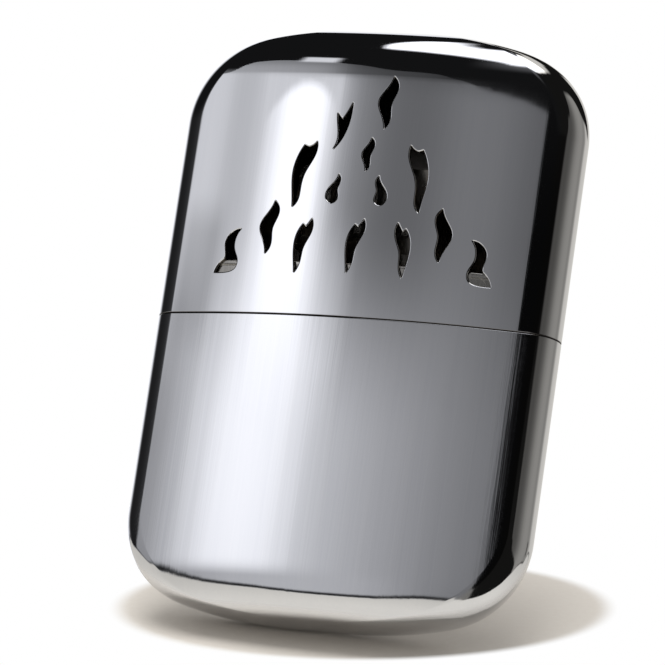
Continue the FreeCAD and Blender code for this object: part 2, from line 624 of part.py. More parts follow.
for obj in doc.Objects:
    if "Invalid" in obj.State or "Error" in obj.State:
        raise RuntimeError(f"{obj.Label} did not build: {obj.State}")
for piece in pieces:
    if piece.Shape.isNull() or not piece.Shape.isValid() or piece.Shape.Volume <= 0:
        raise RuntimeError(f"{piece.Label} has no valid solid")

os.makedirs("parts", exist_ok=True)
for piece in pieces:
    piece.Shape.exportStep(f"parts/{piece.Label}.step")
    box = piece.Shape.BoundBox
    print(f"{piece.Label}: {len(piece.Shape.Solids)} solid, {piece.Shape.Volume:.1f} mm3,"
          f" x {box.XMin:.2f}..{box.XMax:.2f} y {box.YMin:.2f}..{box.YMax:.2f}"
          f" z {box.ZMin:.2f}..{box.ZMax:.2f}")
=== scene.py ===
# %% [markdown]
# A catalytic hand warmer
#
# The object is a flat pocket case of chromed sheet in two drawn halves. The lower half is the
# fuel tank, the upper half is a pull-off lid with flame-shaped vents, and the catalytic burner
# stands between them. The solid model gives the frame: every piece here sits on its numbers.

# %% Load the frame
import math
import bpy
import numpy as np
from mathutils import Matrix, Vector
from mathutils.geometry import delaunay_2d_cdt


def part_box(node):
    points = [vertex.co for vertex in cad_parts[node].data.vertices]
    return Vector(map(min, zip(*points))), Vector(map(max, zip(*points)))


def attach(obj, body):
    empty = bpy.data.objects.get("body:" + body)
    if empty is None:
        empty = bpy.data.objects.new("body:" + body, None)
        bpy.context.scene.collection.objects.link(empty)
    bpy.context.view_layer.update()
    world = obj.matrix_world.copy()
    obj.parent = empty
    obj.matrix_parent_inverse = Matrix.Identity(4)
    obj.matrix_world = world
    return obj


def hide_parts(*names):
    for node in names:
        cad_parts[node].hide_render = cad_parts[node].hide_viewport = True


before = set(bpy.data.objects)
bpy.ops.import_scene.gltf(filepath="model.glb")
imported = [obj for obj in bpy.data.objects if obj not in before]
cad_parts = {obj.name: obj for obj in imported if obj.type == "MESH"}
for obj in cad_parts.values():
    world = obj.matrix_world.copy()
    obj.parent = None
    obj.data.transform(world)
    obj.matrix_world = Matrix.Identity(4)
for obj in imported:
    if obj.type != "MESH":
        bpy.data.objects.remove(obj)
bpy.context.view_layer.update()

# %% [markdown]
# Numbers first. The shapes below are worked out in millimetres, because that is how the sheet
# is dimensioned, and turned into metres only when a mesh is made. These are the case's own
# sizes: an oval barrel of four tangent arcs, and ends that are drawn in over a corner arc, a
# flatter shoulder arc and a short flat, with a round from the broad faces into the ends.

# %% The case's sizes
MM = 0.001
HALF_WIDTH, HALF_DEPTH, HEIGHT, SEAM = 34.0, 8.5, 96.5, 48.25
SIDE, CORNER, SHOULDER, HALF_FLAT = 5.0, 14.5, 61.5, 8.0
EDGE_RISE, EDGE_RUN = 9.0, 4.0
WALL, BREAK = 0.5, 0.2
FACE_RADIUS = ((HALF_WIDTH - SIDE) ** 2 + HALF_DEPTH ** 2 - SIDE ** 2) / (2 * (HALF_DEPTH - SIDE))
CORNER_DEPTH = SHOULDER - math.sqrt((SHOULDER - CORNER) ** 2 - (HALF_WIDTH - HALF_FLAT - CORNER) ** 2)
BARREL = HEIGHT - SEAM
print(f"face radius {FACE_RADIUS:.2f} mm, corner centres {CORNER_DEPTH:.2f} mm under the end")


# %% [markdown]
# The drawn shape could be sculpted by hand or bevelled from a box, but chrome shows every
# unevenness. So it is computed: for each depth under the end there is one oval, and its half
# width and half depth come from the arcs. Points that follow exact arcs reflect cleanly.

# %% Half width and half depth of the case under its end
def half_sizes(depth, inset):
    """Half width and half depth at a depth under the end, moved in from the skin by inset.

    Width: the corner arc sqrt(c^2 - (corner depth - depth)^2), nearer the end the shoulder arc
    sqrt(s^2 - (S - depth)^2). Depth: the round EDGE_RUN sqrt(1 - lean^3), where lean runs from
    0 on the face to 1 on the end, so that it leaves the face gently.
    """
    corner, shoulder = CORNER - inset, SHOULDER - inset
    arch = HALF_FLAT + np.sqrt(np.maximum(shoulder ** 2 - (SHOULDER - depth) ** 2, 0))
    sink = np.maximum(CORNER_DEPTH - depth, 0)
    turn = HALF_WIDTH - CORNER + np.sqrt(np.maximum(corner ** 2 - sink ** 2, 0))
    join = CORNER_DEPTH - corner * (SHOULDER - CORNER_DEPTH) / (SHOULDER - CORNER)
    half_width = np.where(depth < join, arch, turn)
    lean = np.clip((EDGE_RISE - depth) / (EDGE_RISE - inset), 0, 1)
    half_depth = HALF_DEPTH - EDGE_RUN + (EDGE_RUN - inset) * np.sqrt(1 - lean ** 3)
    return half_width, half_depth


# %% [markdown]
# Each oval is divided into columns: the front face from left to right, the right side, the back
# face, the left side. In the zone of the vents the front columns stand straight up, so that the
# holes can later be cut from a plain patch of the grid.

# %% Columns round the case
FRONT_COLUMNS, SIDE_COLUMNS = 56, 14
PATCH_COLUMNS = 52
PATCH_TOP, PATCH_FOOT = 7.0, 43.0
front_share = np.linspace(-1, 1, FRONT_COLUMNS + 1)[:-1]
side_share = np.linspace(-1, 1, SIDE_COLUMNS + 1)[:-1]


def oval_arcs(depth, inset):
    """Face radius, side radius and the point where they meet, for the oval at each depth."""
    half_width, half_depth = half_sizes(depth, inset)
    face = FACE_RADIUS - inset
    side = ((2 * face * half_depth - half_width ** 2 - half_depth ** 2)
            / (2 * (face - half_width)))
    joint_x = face * (half_width - side) / (face - side)
    joint_y = side * (face - half_depth) / (face - side)
    return half_width, half_depth, face, side, joint_x, joint_y


def front_x(share, joint_x, inset):
    """x of the front columns: straight up between the patch's edges, stretched beyond them."""
    straight = np.minimum(joint_x, oval_arcs(np.array(PATCH_TOP), inset)[4])
    inner = PATCH_COLUMNS / FRONT_COLUMNS
    beyond = np.clip((np.abs(share) - inner) / (1 - inner), 0, 1)
    reach = np.minimum(np.abs(share), inner) * straight
    return np.sign(share) * (reach + beyond * (joint_x - inner * straight))


def ovals(depth, inset):
    """Points (rows, columns, 2) and outward normals in the oval's plane, one row per depth."""
    depth = np.asarray(depth, float)[:, None]
    half_width, half_depth, face, side, joint_x, joint_y = oval_arcs(depth, inset)
    x = front_x(front_share, joint_x, inset)
    y = half_depth - face + np.sqrt(face ** 2 - x ** 2)
    front = np.stack([x, -y], -1)
    front_normal = np.stack([x, -y - face + half_depth], -1) / face
    turn = side_share * np.arctan2(joint_y, joint_x - (half_width - side))
    right_normal = np.stack([np.cos(turn), np.sin(turn)], -1)
    right = side[..., None] * right_normal
    right[..., 0] += half_width - side
    points = np.concatenate([front, right, -front, -right], 1)
    normals = np.concatenate([front_normal, right_normal, -front_normal, -right_normal], 1)
    return points, normals


COLUMNS = 2 * (FRONT_COLUMNS + SIDE_COLUMNS)
print("columns round the case:", COLUMNS)


# %% [markdown]
# A skin is a stack of those ovals. The normals are worked out as well and given to the mesh,
# because on polished metal the shading of flat facets would show as faint stripes. A section
# that shrinks towards the end tips the normal up by exactly the slope of the surface.

# %% Skins as stacks of ovals
SLOPE_STEP = 1e-4


def skin(depth, inset, upper):
    """Points and normals (rows, columns, 3). The normal is the oval's own normal n, tipped
    towards the end by n . dP/d(depth), the rate at which the section grows with depth."""
    depth = np.asarray(depth, float)
    points, flat = ovals(depth, inset)
    above = np.maximum(depth - SLOPE_STEP, inset)
    growth = ovals(depth + SLOPE_STEP, inset)[0] - ovals(above, inset)[0]
    tip = (flat * growth).sum(-1) / (depth + SLOPE_STEP - above)[:, None]
    on_flat = depth <= inset + 1e-9
    flat = np.where(on_flat[:, None, None], 0, flat)
    tip = np.where(on_flat[:, None], 1, tip)
    z = np.repeat(depth[:, None], COLUMNS, 1)
    normals = np.concatenate([flat, tip[..., None]], -1)
    normals /= np.linalg.norm(normals, axis=-1, keepdims=True)
    return place(np.concatenate([points, z[..., None]], -1), normals, upper)


def place(points, normals, upper):
    """Turns 'depth under the end' into height: the lid hangs from the top, the tank is mirrored."""
    points, normals = points.copy(), normals.copy()
    if upper:
        points[..., 2] = HEIGHT - points[..., 2]
    else:
        normals[..., 2] *= -1
    return points, normals


print("normal on the face at half height:", skin([BARREL], 0.0, True)[1][0, FRONT_COLUMNS // 2].round(3))

# %% [markdown]
# A grid of points becomes faces by counting: each cell joins a point, the point beside it and
# the two over them. The flat ends could be one face with many corners, but such a face shades
# badly, so rings shrink to its middle and a fan of triangles closes the last one.

# %% Grids, strips and caps
def grid_faces(rows, columns, wrap=True):
    """Four corners of every cell of a grid, counter-clockwise for rows that rise."""
    index = np.arange(rows * columns).reshape(rows, columns)
    here = index if wrap else index[:, :-1]
    beside = np.roll(index, -1, 1) if wrap else index[:, 1:]
    return np.stack([here[:-1], beside[:-1], beside[1:], here[1:]], -1)


def strip(points, normals, flip=False, keep=None):
    """One grid as a chunk: points, faces and normals. keep says which cells stay."""
    faces = grid_faces(*points.shape[:2])
    faces = faces.reshape(-1, 4) if keep is None else faces[keep]
    return points.reshape(-1, 3), faces[:, ::-1] if flip else faces, normals.reshape(-1, 3)


CAP_RINGS = (1.0, 0.7, 0.4, 0.15)


def cap(ring, normal, flip):
    """Closes a flat oval: rings that shrink to its middle, and a fan of triangles."""
    shares = np.array(CAP_RINGS)[:, None, None]
    middle = ring.mean(0)
    points = middle + shares * (ring - middle)
    rings = strip(points, np.broadcast_to(normal, points.shape), flip)
    count = len(ring)
    fan_points = np.concatenate([points[-1], middle[None]])
    near = np.arange(count)
    fan = np.stack([near, np.roll(near, -1), np.full(count, count)], -1)
    fan = fan[:, ::-1] if flip else fan
    return [rings, (fan_points, fan, np.broadcast_to(normal, fan_points.shape))]


print("a cap has", len(CAP_RINGS), "rings and a fan")

# %% [markdown]
# The rows of a skin could lie at even distances. But a reflection bends most where the case
# curves most, and there it needs the most rows, so they crowd towards the end.

# %% Rows of a skin
EDGE_ROWS, CORNER_ROWS, BARREL_ROWS, MOUTH_ROWS = 27, 14, 24, 5


def levels(inset):
    """Depths from the flat of the end to the mouth, crowded where the end curves most."""
    edge = inset + (PATCH_TOP - inset) * np.linspace(0, 1, EDGE_ROWS) ** 3
    corner = np.linspace(PATCH_TOP, CORNER_DEPTH, CORNER_ROWS)[1:]
    barrel = np.linspace(CORNER_DEPTH, PATCH_FOOT, BARREL_ROWS)[1:]
    mouth = np.linspace(PATCH_FOOT, BARREL - BREAK, MOUTH_ROWS)[1:]
    return np.concatenate([edge, corner, barrel, mouth])


print("rows of the outer skin:", len(levels(0.0)))


# %% [markdown]
# The vents are punched. Each outline is a run of smooth sides that meet at sharp tips, drawn
# from a few knots as a flame is drawn with a pen: foot, swell, waist and tip. Six flames are
# enough, because most stand in pairs, one the mirror image of the other.

# %% The flames and where they stand
VENT_RISE = 6.7
FLAMES = {
    "s_flame": (((0, 0), (0.7, 1.5), (0.6, 4.1), (1.35, 6.6), (0.5, 8.6)),
                ((0.5, 8.6), (-0.2, 7.0), (-1.5, 4.5), (-0.5, 1.8), (0, 0))),
    "split_flame": (((0, 0), (1.2, 1.8), (2.0, 4.4), (2.2, 7.6)),
                    ((2.2, 7.6), (1.5, 6.0), (0.8, 4.8)),
                    ((0.8, 4.8), (-0.1, 5.8)),
                    ((-0.1, 5.8), (0.2, 4.0), (0.5, 2.3), (0, 0))),
    "tall_fork": (((0, 0), (0.75, 1.2), (0.9, 3.2), (1.25, 5.5), (2.3, 7.8), (2.8, 9.4), (2.7, 10.8)),
                  ((2.7, 10.8), (2.1, 10.2), (1.4, 9.9)),
                  ((1.4, 9.9), (0.65, 10.2)),
                  ((0.65, 10.2), (-0.2, 8.4), (-0.7, 5.8), (-0.4, 2.8), (0, 0))),
    "short_fork": (((0, 0), (0.65, 1.6), (0.9, 4.0), (2.0, 6.9), (1.8, 8.8)),
                   ((1.8, 8.8), (1.3, 8.0), (0.9, 7.4)),
                   ((0.9, 7.4), (0.4, 7.9)),
                   ((0.4, 7.9), (-0.6, 5.3), (-0.4, 2.4), (0, 0))),
    "drop": (((0.6, 4.7), (0, 3.4), (-1.0, 1.9), (-0.9, 0.5), (0, 0), (0.8, 0.7), (0.6, 2.3),
              (0.95, 3.6), (0.6, 4.7)),),
    "hook": (((0, 0), (1.9, 0.05), (3.6, 0.8), (3.8, 1.9), (3.0, 3.8), (2.9, 5.4), (3.7, 7.2)),
             ((3.7, 7.2), (2.2, 6.6), (1.3, 5.0), (1.6, 3.3), (1.6, 2.3)),
             ((1.6, 2.3), (0.8, 1.6), (0, 0))),
}
# kind, foot from the pair's middle, foot above the lowest vents, share of full size, in a pair,
# and how far the pair's middle stands beside the case's
VENTS = (
    ("s_flame", 2.7, 24.5, 1.0, False, 0.0),
    ("split_flame", -5.4, 20.9, 1.0, False, 0.0),
    ("s_flame", 0.6, 17.4, 0.63, False, 0.0),
    ("tall_fork", -10.7, 11.1, 1.0, True, -0.4),
    ("drop", -4.0, 11.9, 1.0, True, -0.4),
    ("s_flame", -14.7, 3.3, 1.0, True, 0.0),
    ("short_fork", -9.1, 0.3, 1.0, True, 0.0),
    ("short_fork", -0.2, 0.6, 1.0, False, 0.0),
    ("hook", -23.4, 0.0, 1.0, True, 0.0),
)
print(len(FLAMES), "flames in", len(VENTS), "places")

# %% [markdown]
# Straight lines between the knots would look like cut paper. A cubic through them, with the same
# curvature on both sides of each knot, keeps the sides fair, as a bent spline of wood does, and
# only the tips are allowed to be sharp.

# %% From knots to smooth outlines
def smooth_side(knots, spacing=0.2):
    """Points along a cubic through the knots, with continuous curvature.

    The parameter is the length along the chords. Slopes solve h1 m0 + 2(h0 + h1) m1 + h0 m2 =
    3(h1 s0 + h0 s1), and at the ends they are those of a polynomial through the nearest knots.
    """
    chords = np.diff(knots, axis=0)
    gaps = np.linalg.norm(chords, axis=1)
    place_of = np.concatenate([[0], np.cumsum(gaps)])
    count = max(2, int(place_of[-1] / spacing) + 1)
    wanted = np.linspace(0, place_of[-1], count)
    if len(knots) == 2:
        return knots[0] + (wanted / place_of[-1])[:, None] * chords[0]
    rates = chords / gaps[:, None]
    order = min(len(knots), 4) - 1
    system = np.eye(len(knots))
    answer = np.zeros((len(knots), 2))
    answer[0] = np.polyfit(place_of[:order + 1], knots[:order + 1], order)[-2]
    answer[-1] = np.polyfit(place_of[-order - 1:] - place_of[-1], knots[-order - 1:], order)[-2]
    for k in range(1, len(knots) - 1):
        system[k, k - 1:k + 2] = gaps[k], 2 * (gaps[k - 1] + gaps[k]), gaps[k - 1]
        answer[k] = 3 * (gaps[k] * rates[k - 1] + gaps[k - 1] * rates[k])
    slopes = np.linalg.solve(system, answer)
    k = np.clip(np.searchsorted(place_of, wanted, side="right") - 1, 0, len(gaps) - 1)
    t = ((wanted - place_of[k]) / gaps[k])[:, None]
    gap = gaps[k][:, None]
    return ((1 + 2 * t) * (1 - t) ** 2 * knots[k] + t * (1 - t) ** 2 * gap * slopes[k]
            + t ** 2 * (3 - 2 * t) * knots[k + 1] + t ** 2 * (t - 1) * gap * slopes[k + 1])


def vent_sides(kind, foot_x, foot_y, share, mirror, aside):
    """The sides of one vent in x and z on the face, running counter-clockwise seen from outside."""
    sides = []
    for knots in FLAMES[kind]:
        knots = share * np.array(knots, float) + (foot_x, foot_y)
        sides.append(smooth_side(knots * (mirror, 1) + (aside, SEAM + VENT_RISE)))
    loop = np.concatenate([side[:-1] for side in sides])
    following = np.roll(loop, -1, 0)
    area = (loop[:, 0] * following[:, 1] - loop[:, 1] * following[:, 0]).sum()
    return sides if area > 0 else [side[::-1] for side in sides[::-1]]


vents = [vent_sides(kind, x, y, share, mirror, aside)
         for kind, x, y, share, paired, aside in VENTS for mirror in ((1, -1) if paired else (1,))]
outlines = [np.concatenate([side[:-1] for side in sides]) for sides in vents]
print(len(vents), "vents,", sum(len(outline) for outline in outlines), "points on their outlines")


# %% [markdown]
# A punched edge isn't knife sharp: the sheet rolls into the hole over a quarter of a millimetre,
# and in the light that roll is the thin bright rim round each flame. Rings of points follow
# every outline at set distances, a triangulation joins them to the grid of the face, and the
# distance to the outline says how far a point has rolled in.

# %% The rolled edge of the vents
ROLL = 0.22
RING_LEANS = (1.05, 0.52, 0.0)                # lean of the skin at each ring, in radians
GRID_CLEARANCE, RING_SLACK = 0.32, 0.97       # how near grid points and rings may come to a vent
TIP_POINTS = 5


def side_normals(side):
    """Normals of one side of a vent, pointing away from the hole."""
    along = np.gradient(side, axis=0)
    along /= np.linalg.norm(along, axis=1, keepdims=True)
    return np.stack([along[:, 1], -along[:, 0]], -1)


def nearest(points, outline):
    """Distance from each point to a closed outline, and the direction towards it."""
    edge = np.roll(outline, -1, 0) - outline
    offset = points[:, None] - outline
    share = np.clip((offset * edge).sum(-1) / (edge ** 2).sum(-1), 0, 1)
    gap = outline + share[..., None] * edge - points[:, None]
    distance = np.linalg.norm(gap, axis=-1)
    best = distance.argmin(1)
    rows = np.arange(len(points))
    distance = distance[rows, best]
    return distance, gap[rows, best] / np.maximum(distance, 1e-9)[:, None]


def near_box(points, outline):
    """True where a point lies within 1 mm of an outline's box."""
    return ((points > outline.min(0) - 1) & (points < outline.max(0) + 1)).all(1)


def inside(points, outline):
    """True where a point lies inside an outline: an odd number of edges to its right."""
    x, z = points[:, :1], points[:, 1:]
    after = np.roll(outline, -1, 0)
    crosses = (outline[:, 1] > z) != (after[:, 1] > z)
    rise = np.where(after[:, 1] == outline[:, 1], 1, after[:, 1] - outline[:, 1])
    at = outline[:, 0] + (z - outline[:, 1]) * (after[:, 0] - outline[:, 0]) / rise
    return (crosses & (at > x)).sum(1) % 2 == 1


def round_the_tips(sides, distance):
    """Points at a distance from a vent: beside its sides, and on a small arc round each tip."""
    rings = [side + distance * side_normals(side) for side in sides]
    for side, following in zip(sides, sides[1:] + sides[:1]):
        before, after = side_normals(side)[-1], side_normals(following)[0]
        start = math.atan2(before[1], before[0])
        sweep = (math.atan2(after[1], after[0]) - start) % (2 * math.pi)
        if sweep < math.pi:
            angles = start + sweep * np.linspace(0, 1, TIP_POINTS + 2)[1:-1]
            rings.append(side[-1] + distance * np.stack([np.cos(angles), np.sin(angles)], -1))
    return np.concatenate(rings)


print("rings round a vent at", [round(ROLL * (1 - math.sin(lean)), 3) for lean in RING_LEANS], "mm")

# %% [markdown]
# A Boolean would cut the holes too, but it leaves long thin triangles that show in chrome. A
# triangulation that has to keep the outlines gives small, even ones.

# %% The flat patch with its holes
MERGE_WITHIN, LEAST_AREA = 1e-7, 1e-9


def face_patch(columns_x, levels_z, roll):
    """The part of the front wall with the vents, as points in x and z, and triangles.

    Grid points clear of the vents, rings round them and the outlines themselves are joined by
    a constrained Delaunay triangulation, and triangles inside an outline are left out.
    """
    x, z = np.meshgrid(columns_x, levels_z)
    points = [np.stack([x.ravel(), z.ravel()], -1)]
    ring_distances = [ROLL * (1 - math.sin(lean)) for lean in RING_LEANS] if roll else []
    for sides in vents:
        points += [round_the_tips(sides, distance) for distance in ring_distances]
    sizes = np.array([len(block) for block in points])
    points = np.concatenate(points)
    reach = np.repeat([GRID_CLEARANCE] + ring_distances * len(vents), sizes)
    clear = np.ones(len(points), bool)
    for outline in outlines:
        close = near_box(points, outline)
        distance, _ = nearest(points[close], outline)
        clear[close] &= (distance > RING_SLACK * reach[close]) & ~inside(points[close], outline)
    points = points[clear]
    count = len(points)
    edges = []
    for outline in outlines:
        index = count + np.arange(len(outline))
        edges += np.stack([index, np.roll(index, -1)], -1).tolist()
        points = np.concatenate([points, outline])
        count = len(points)
    vectors = [Vector(point) for point in points.tolist()]
    found, _, triangles, *_ = delaunay_2d_cdt(vectors, edges, [], 0, MERGE_WITHIN)
    found, triangles = np.array(found), np.array(triangles)
    middles = found[triangles].mean(1)
    hole = np.zeros(len(triangles), bool)
    for outline in outlines:
        hole |= inside(middles, outline)
    a, b, c = (found[triangles[:, k]] for k in range(3))
    area = (b[:, 0] - a[:, 0]) * (c[:, 1] - a[:, 1]) - (b[:, 1] - a[:, 1]) * (c[:, 0] - a[:, 0])
    triangles = np.where(area[:, None] > 0, triangles, triangles[:, ::-1])
    return found, triangles[~hole & (np.abs(area) > LEAST_AREA)]


print("triangles thinner than", LEAST_AREA, "square mm are left out")

# %% [markdown]
# The patch is flat in x and z, and the face is not. So every point is lifted onto the arc of the
# face, and near a vent it sinks along a quarter round. Behind the roll the cut goes straight
# through the sheet.

# %% The patch laid on the face
def on_face(flat, inset):
    """Points of the front wall over x and z, and their normals.

    y = R - half depth - sqrt(R^2 - x^2); the normal tips up by the rate at which the half depth
    grows with the depth under the end.
    """
    radius, depth = FACE_RADIUS - inset, HEIGHT - flat[:, 1]
    arch = np.sqrt(radius ** 2 - flat[:, 0] ** 2)
    y = radius - half_sizes(depth, inset)[1] - arch
    below, over = half_sizes(depth + SLOPE_STEP, inset)[1], half_sizes(depth - SLOPE_STEP, inset)[1]
    rate = (below - over) / (2 * SLOPE_STEP)
    points = np.stack([flat[:, 0], y, flat[:, 1]], -1)
    normals = np.stack([flat[:, 0], -arch, rate * arch], -1) / radius[:, None]
    return points, normals / np.linalg.norm(normals, axis=1, keepdims=True)


def rolled(flat):
    """The outer face over x and z with its rolled edges.

    At a distance s < ROLL from a vent the skin has sunk by ROLL - sqrt(ROLL^2 - (ROLL - s)^2),
    and its normal leans towards the hole by asin((ROLL - s) / ROLL).
    """
    distance, towards = np.full(len(flat), np.inf), np.zeros_like(flat)
    for sides, outline in zip(vents, outlines):
        close = np.flatnonzero(near_box(flat, outline))
        gap, direction = nearest(flat[close], outline)
        corner_normals = np.concatenate([side_normals(side)[:-1] for side in sides])
        nearest_knot = np.linalg.norm(flat[close][:, None] - outline, axis=-1).argmin(1)
        direction = np.where(gap[:, None] < 1e-5, -corner_normals[nearest_knot], direction)
        better = gap < distance[close]
        distance[close[better]], towards[close[better]] = gap[better], direction[better]
    lean = np.clip((ROLL - distance) / ROLL, 0, 1)
    points, normals = on_face(flat, ROLL * (1 - np.sqrt(1 - lean ** 2)))
    normals = normals * np.sqrt(1 - lean ** 2)[:, None]
    normals[:, 0] += towards[:, 0] * lean
    normals[:, 2] += towards[:, 1] * lean
    return points, normals / np.linalg.norm(normals, axis=1, keepdims=True)


def vent_wall(side):
    """The cut through the sheet along one side of a vent, from the roll to the inner skin."""
    normal = -side_normals(side)
    rows = [on_face(side, np.full(len(side), inset))[0] for inset in (ROLL, WALL)]
    normals = np.stack([normal[:, 0], 0 * normal[:, 0], normal[:, 1]], -1)
    faces = grid_faces(2, len(side), wrap=False).reshape(-1, 4)
    return np.concatenate(rows), faces, np.concatenate([normals, normals])


print("face at the middle of the seam:", on_face(np.array([[0.0, SEAM]]), np.zeros(1))[0][0].round(2))

# %% [markdown]
# The chunks are joined into one closed skin: points that coincide become one point, while each
# face keeps the normals it came with, so that the rims stay crisp and the rounds stay smooth.

# %% From chunks to a Blender mesh
JOIN_STEPS, OFF_THE_STEP = 1e7, 0.37      # points are joined on a grid of 0.1 micrometre


def make_mesh(name, chunks, smooth_normals=True):
    """One mesh from chunks of (points in mm, faces, normals), with coinciding points joined."""
    points = np.concatenate([chunk[0] for chunk in chunks]) * MM
    normals = np.concatenate([chunk[2] for chunk in chunks])
    starts = np.cumsum([0] + [len(chunk[0]) for chunk in chunks])
    keys = np.round(points * JOIN_STEPS + OFF_THE_STEP).astype(np.int64)
    _, first, joined = np.unique(keys, axis=0, return_index=True, return_inverse=True)
    faces, corner_normals = [], []
    for chunk, start in zip(chunks, starts):
        index = chunk[1] + start
        faces += joined.ravel()[index].tolist()
        corner_normals.append(normals[index].reshape(-1, 3))
    mesh = bpy.data.meshes.new(name)
    mesh.from_pydata(points[first].tolist(), [], faces)
    mesh.polygons.foreach_set("use_smooth", np.ones(len(faces), bool))
    if smooth_normals:
        mesh.normals_split_custom_set(np.concatenate(corner_normals).tolist())
    mesh.update()
    return mesh


def add_piece(name, mesh, body, replaced=()):
    """Puts a mesh in the scene as a piece that rides on a body and stands for CAD nodes."""
    piece = bpy.data.objects.new(name, mesh)
    bpy.context.scene.collection.objects.link(piece)
    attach(piece, body)
    if replaced:
        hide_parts(*replaced)
    triangles = sum(len(polygon.vertices) - 2 for polygon in mesh.polygons)
    print(f"{name}: {len(mesh.vertices)} points, {triangles} triangles")
    return piece


# %% [markdown]
# Two parts of a half are more than a skin. Its rim is flat with an outer edge that is broken, as
# on any cut sheet, or it would be sharp to the hand. And on the lid the patch with the vents is
# left out of both grids and put in again with its holes.

# %% The rim and the wall with the vents
PATCH_EDGE = (FRONT_COLUMNS - PATCH_COLUMNS) // 2
TINY = 1e-6


def outside_patch(depth):
    """True for the cells of a skin that lie outside the patch with the vents."""
    lower, higher = np.minimum(depth[:-1], depth[1:]), np.maximum(depth[:-1], depth[1:])
    in_rows = (lower > PATCH_TOP - TINY) & (higher < PATCH_FOOT + TINY)
    in_columns = np.zeros(COLUMNS, bool)
    in_columns[PATCH_EDGE:FRONT_COLUMNS - PATCH_EDGE] = True
    return ~(in_rows[:, None] & in_columns)


def rim(flip, upper, inner_mouth, outer_mouth):
    """The flat rim and its broken outer edge: a quarter round of radius BREAK."""
    turn = np.linspace(np.pi / 2, 0, 5)
    insets = [WALL, WALL] + [BREAK * (1 - math.cos(a)) for a in turn]
    heights = [BREAK, 0.0] + [BREAK * (1 - math.sin(a)) for a in turn]
    leans = [(-1, 0), (0, 1)] + [(math.cos(a), math.sin(a)) for a in turn]
    points, normals = [], []
    for inset, height, (out, down) in zip(insets, heights, leans):
        flat, outward = ovals([BARREL], inset)
        z = np.full((1, COLUMNS, 1), BARREL - height)
        down_part = np.full((1, COLUMNS, 1), -float(down))
        row, normal = place(np.concatenate([flat, z], -1),
                            np.concatenate([outward * out, down_part], -1), upper)
        points.append(row)
        normals.append(normal)
    points, normals = np.concatenate(points), np.concatenate(normals)
    points[0], points[-1] = inner_mouth, outer_mouth
    return strip(points, normals, flip)


def vented_wall(inner, outer, depth):
    """Outer patch with rolled edges, inner patch, and the walls of the cut between them."""
    span = slice(PATCH_EDGE, FRONT_COLUMNS - PATCH_EDGE + 1)
    in_patch = (depth > PATCH_TOP - TINY) & (depth < PATCH_FOOT + TINY)
    outer_x = outer[0][-1 - np.flatnonzero(in_patch)[0], span, 0]
    inner_x = inner[0][in_patch][0, span, 0]
    z = (HEIGHT - depth[in_patch])[::-1]
    outer_flat, outer_faces = face_patch(outer_x, z, roll=True)
    inner_flat, inner_faces = face_patch(inner_x, z, roll=False)
    outer_points, outer_normals = rolled(outer_flat)
    inner_points, inner_normals = on_face(inner_flat, np.full(len(inner_flat), WALL))
    walls = [vent_wall(side) for sides in vents for side in sides]
    return [(outer_points, outer_faces, outer_normals),
            (inner_points, inner_faces[:, ::-1], -inner_normals)] + walls


print("columns left out on each side of the patch:", PATCH_EDGE)

# %% [markdown]
# Both halves are the same cup. The inner skin, the rim with its broken edge and the outer skin
# follow each other from the inside of the end to its outside.

# %% The two drawn halves of the case
def cup(upper):
    """Chunks of one half: inner skin, flat rim, broken edge, outer skin, two flat caps."""
    flip = not upper
    chunks = []
    inner_depth, outer_depth = levels(WALL), levels(0.0)[::-1]
    inner = skin(inner_depth, WALL, upper)
    outer = skin(outer_depth, 0.0, upper)
    for depth, (points, normals), sign in ((inner_depth, inner, -1), (outer_depth, outer, 1)):
        keep = outside_patch(depth) if upper else None
        chunks.append(strip(points, sign * normals, flip, keep))
    up = np.array([0, 0, 1.0 if upper else -1.0])
    chunks += cap(inner[0][0], -up, not flip)
    chunks += cap(outer[0][-1], up, flip)
    chunks.append(rim(flip, upper, inner[0][-1], outer[0][0]))
    if upper:
        chunks += vented_wall(inner, outer, inner_depth)
    return chunks


lid = add_piece("lid_skin", make_mesh("lid_skin", cup(upper=True)), "lid", ["lid_shell"])
tank = add_piece("tank_skin", make_mesh("tank_skin", cup(upper=False)), "tank",
                 ["tank_shell"])


# %% [markdown]
# Materials are built from nodes. They could be wired one by one, but small helpers that make a
# node, set its values and link it let the lines below read like a parts list.

# %% Helpers for nodes
def node(tree, kind, inputs=(), **settings):
    """A shader node with some of its settings and input values."""
    made = tree.nodes.new(kind)
    for key, value in settings.items():
        setattr(made, key, value)
    for key, value in dict(inputs).items():
        if isinstance(value, bpy.types.NodeSocket):
            tree.links.new(value, made.inputs[key])
        else:
            made.inputs[key].default_value = value
    return made


def math_node(tree, operation, *values, clamp=False):
    """The result of one sum: numbers or sockets in, one socket out."""
    made = node(tree, "ShaderNodeMath", enumerate(values), operation=operation, use_clamp=clamp)
    return made.outputs[0]


def ease(tree, value, start, end, low=0.0, high=1.0):
    """A smooth step from low to high while value runs from start to end."""
    made = node(tree, "ShaderNodeMapRange", {0: value, 1: start, 2: end, 3: low, 4: high},
                interpolation_type="SMOOTHSTEP")
    return made.outputs[0]


def times(tree, *factors):
    """The product of several numbers or sockets."""
    result = factors[0]
    for factor in factors[1:]:
        result = math_node(tree, "MULTIPLY", result, factor)
    return result


print("helpers for single nodes are ready")

# %% [markdown]
# A finish starts from the places on the piece, breaks them up with noise and mixes colours by
# what comes out. What several finishes share goes into a group, with inputs to set it by.

# %% Helpers for materials and groups
def object_place(tree):
    """Places in metres that stay with the piece."""
    return node(tree, "ShaderNodeTexCoord").outputs["Object"]


def noise(tree, place_in, scale, output="Fac", **values):
    """A noise at a place, with its scale and its other inputs by name."""
    return node(tree, "ShaderNodeTexNoise", {"Vector": place_in, "Scale": scale, **values}).outputs[output]


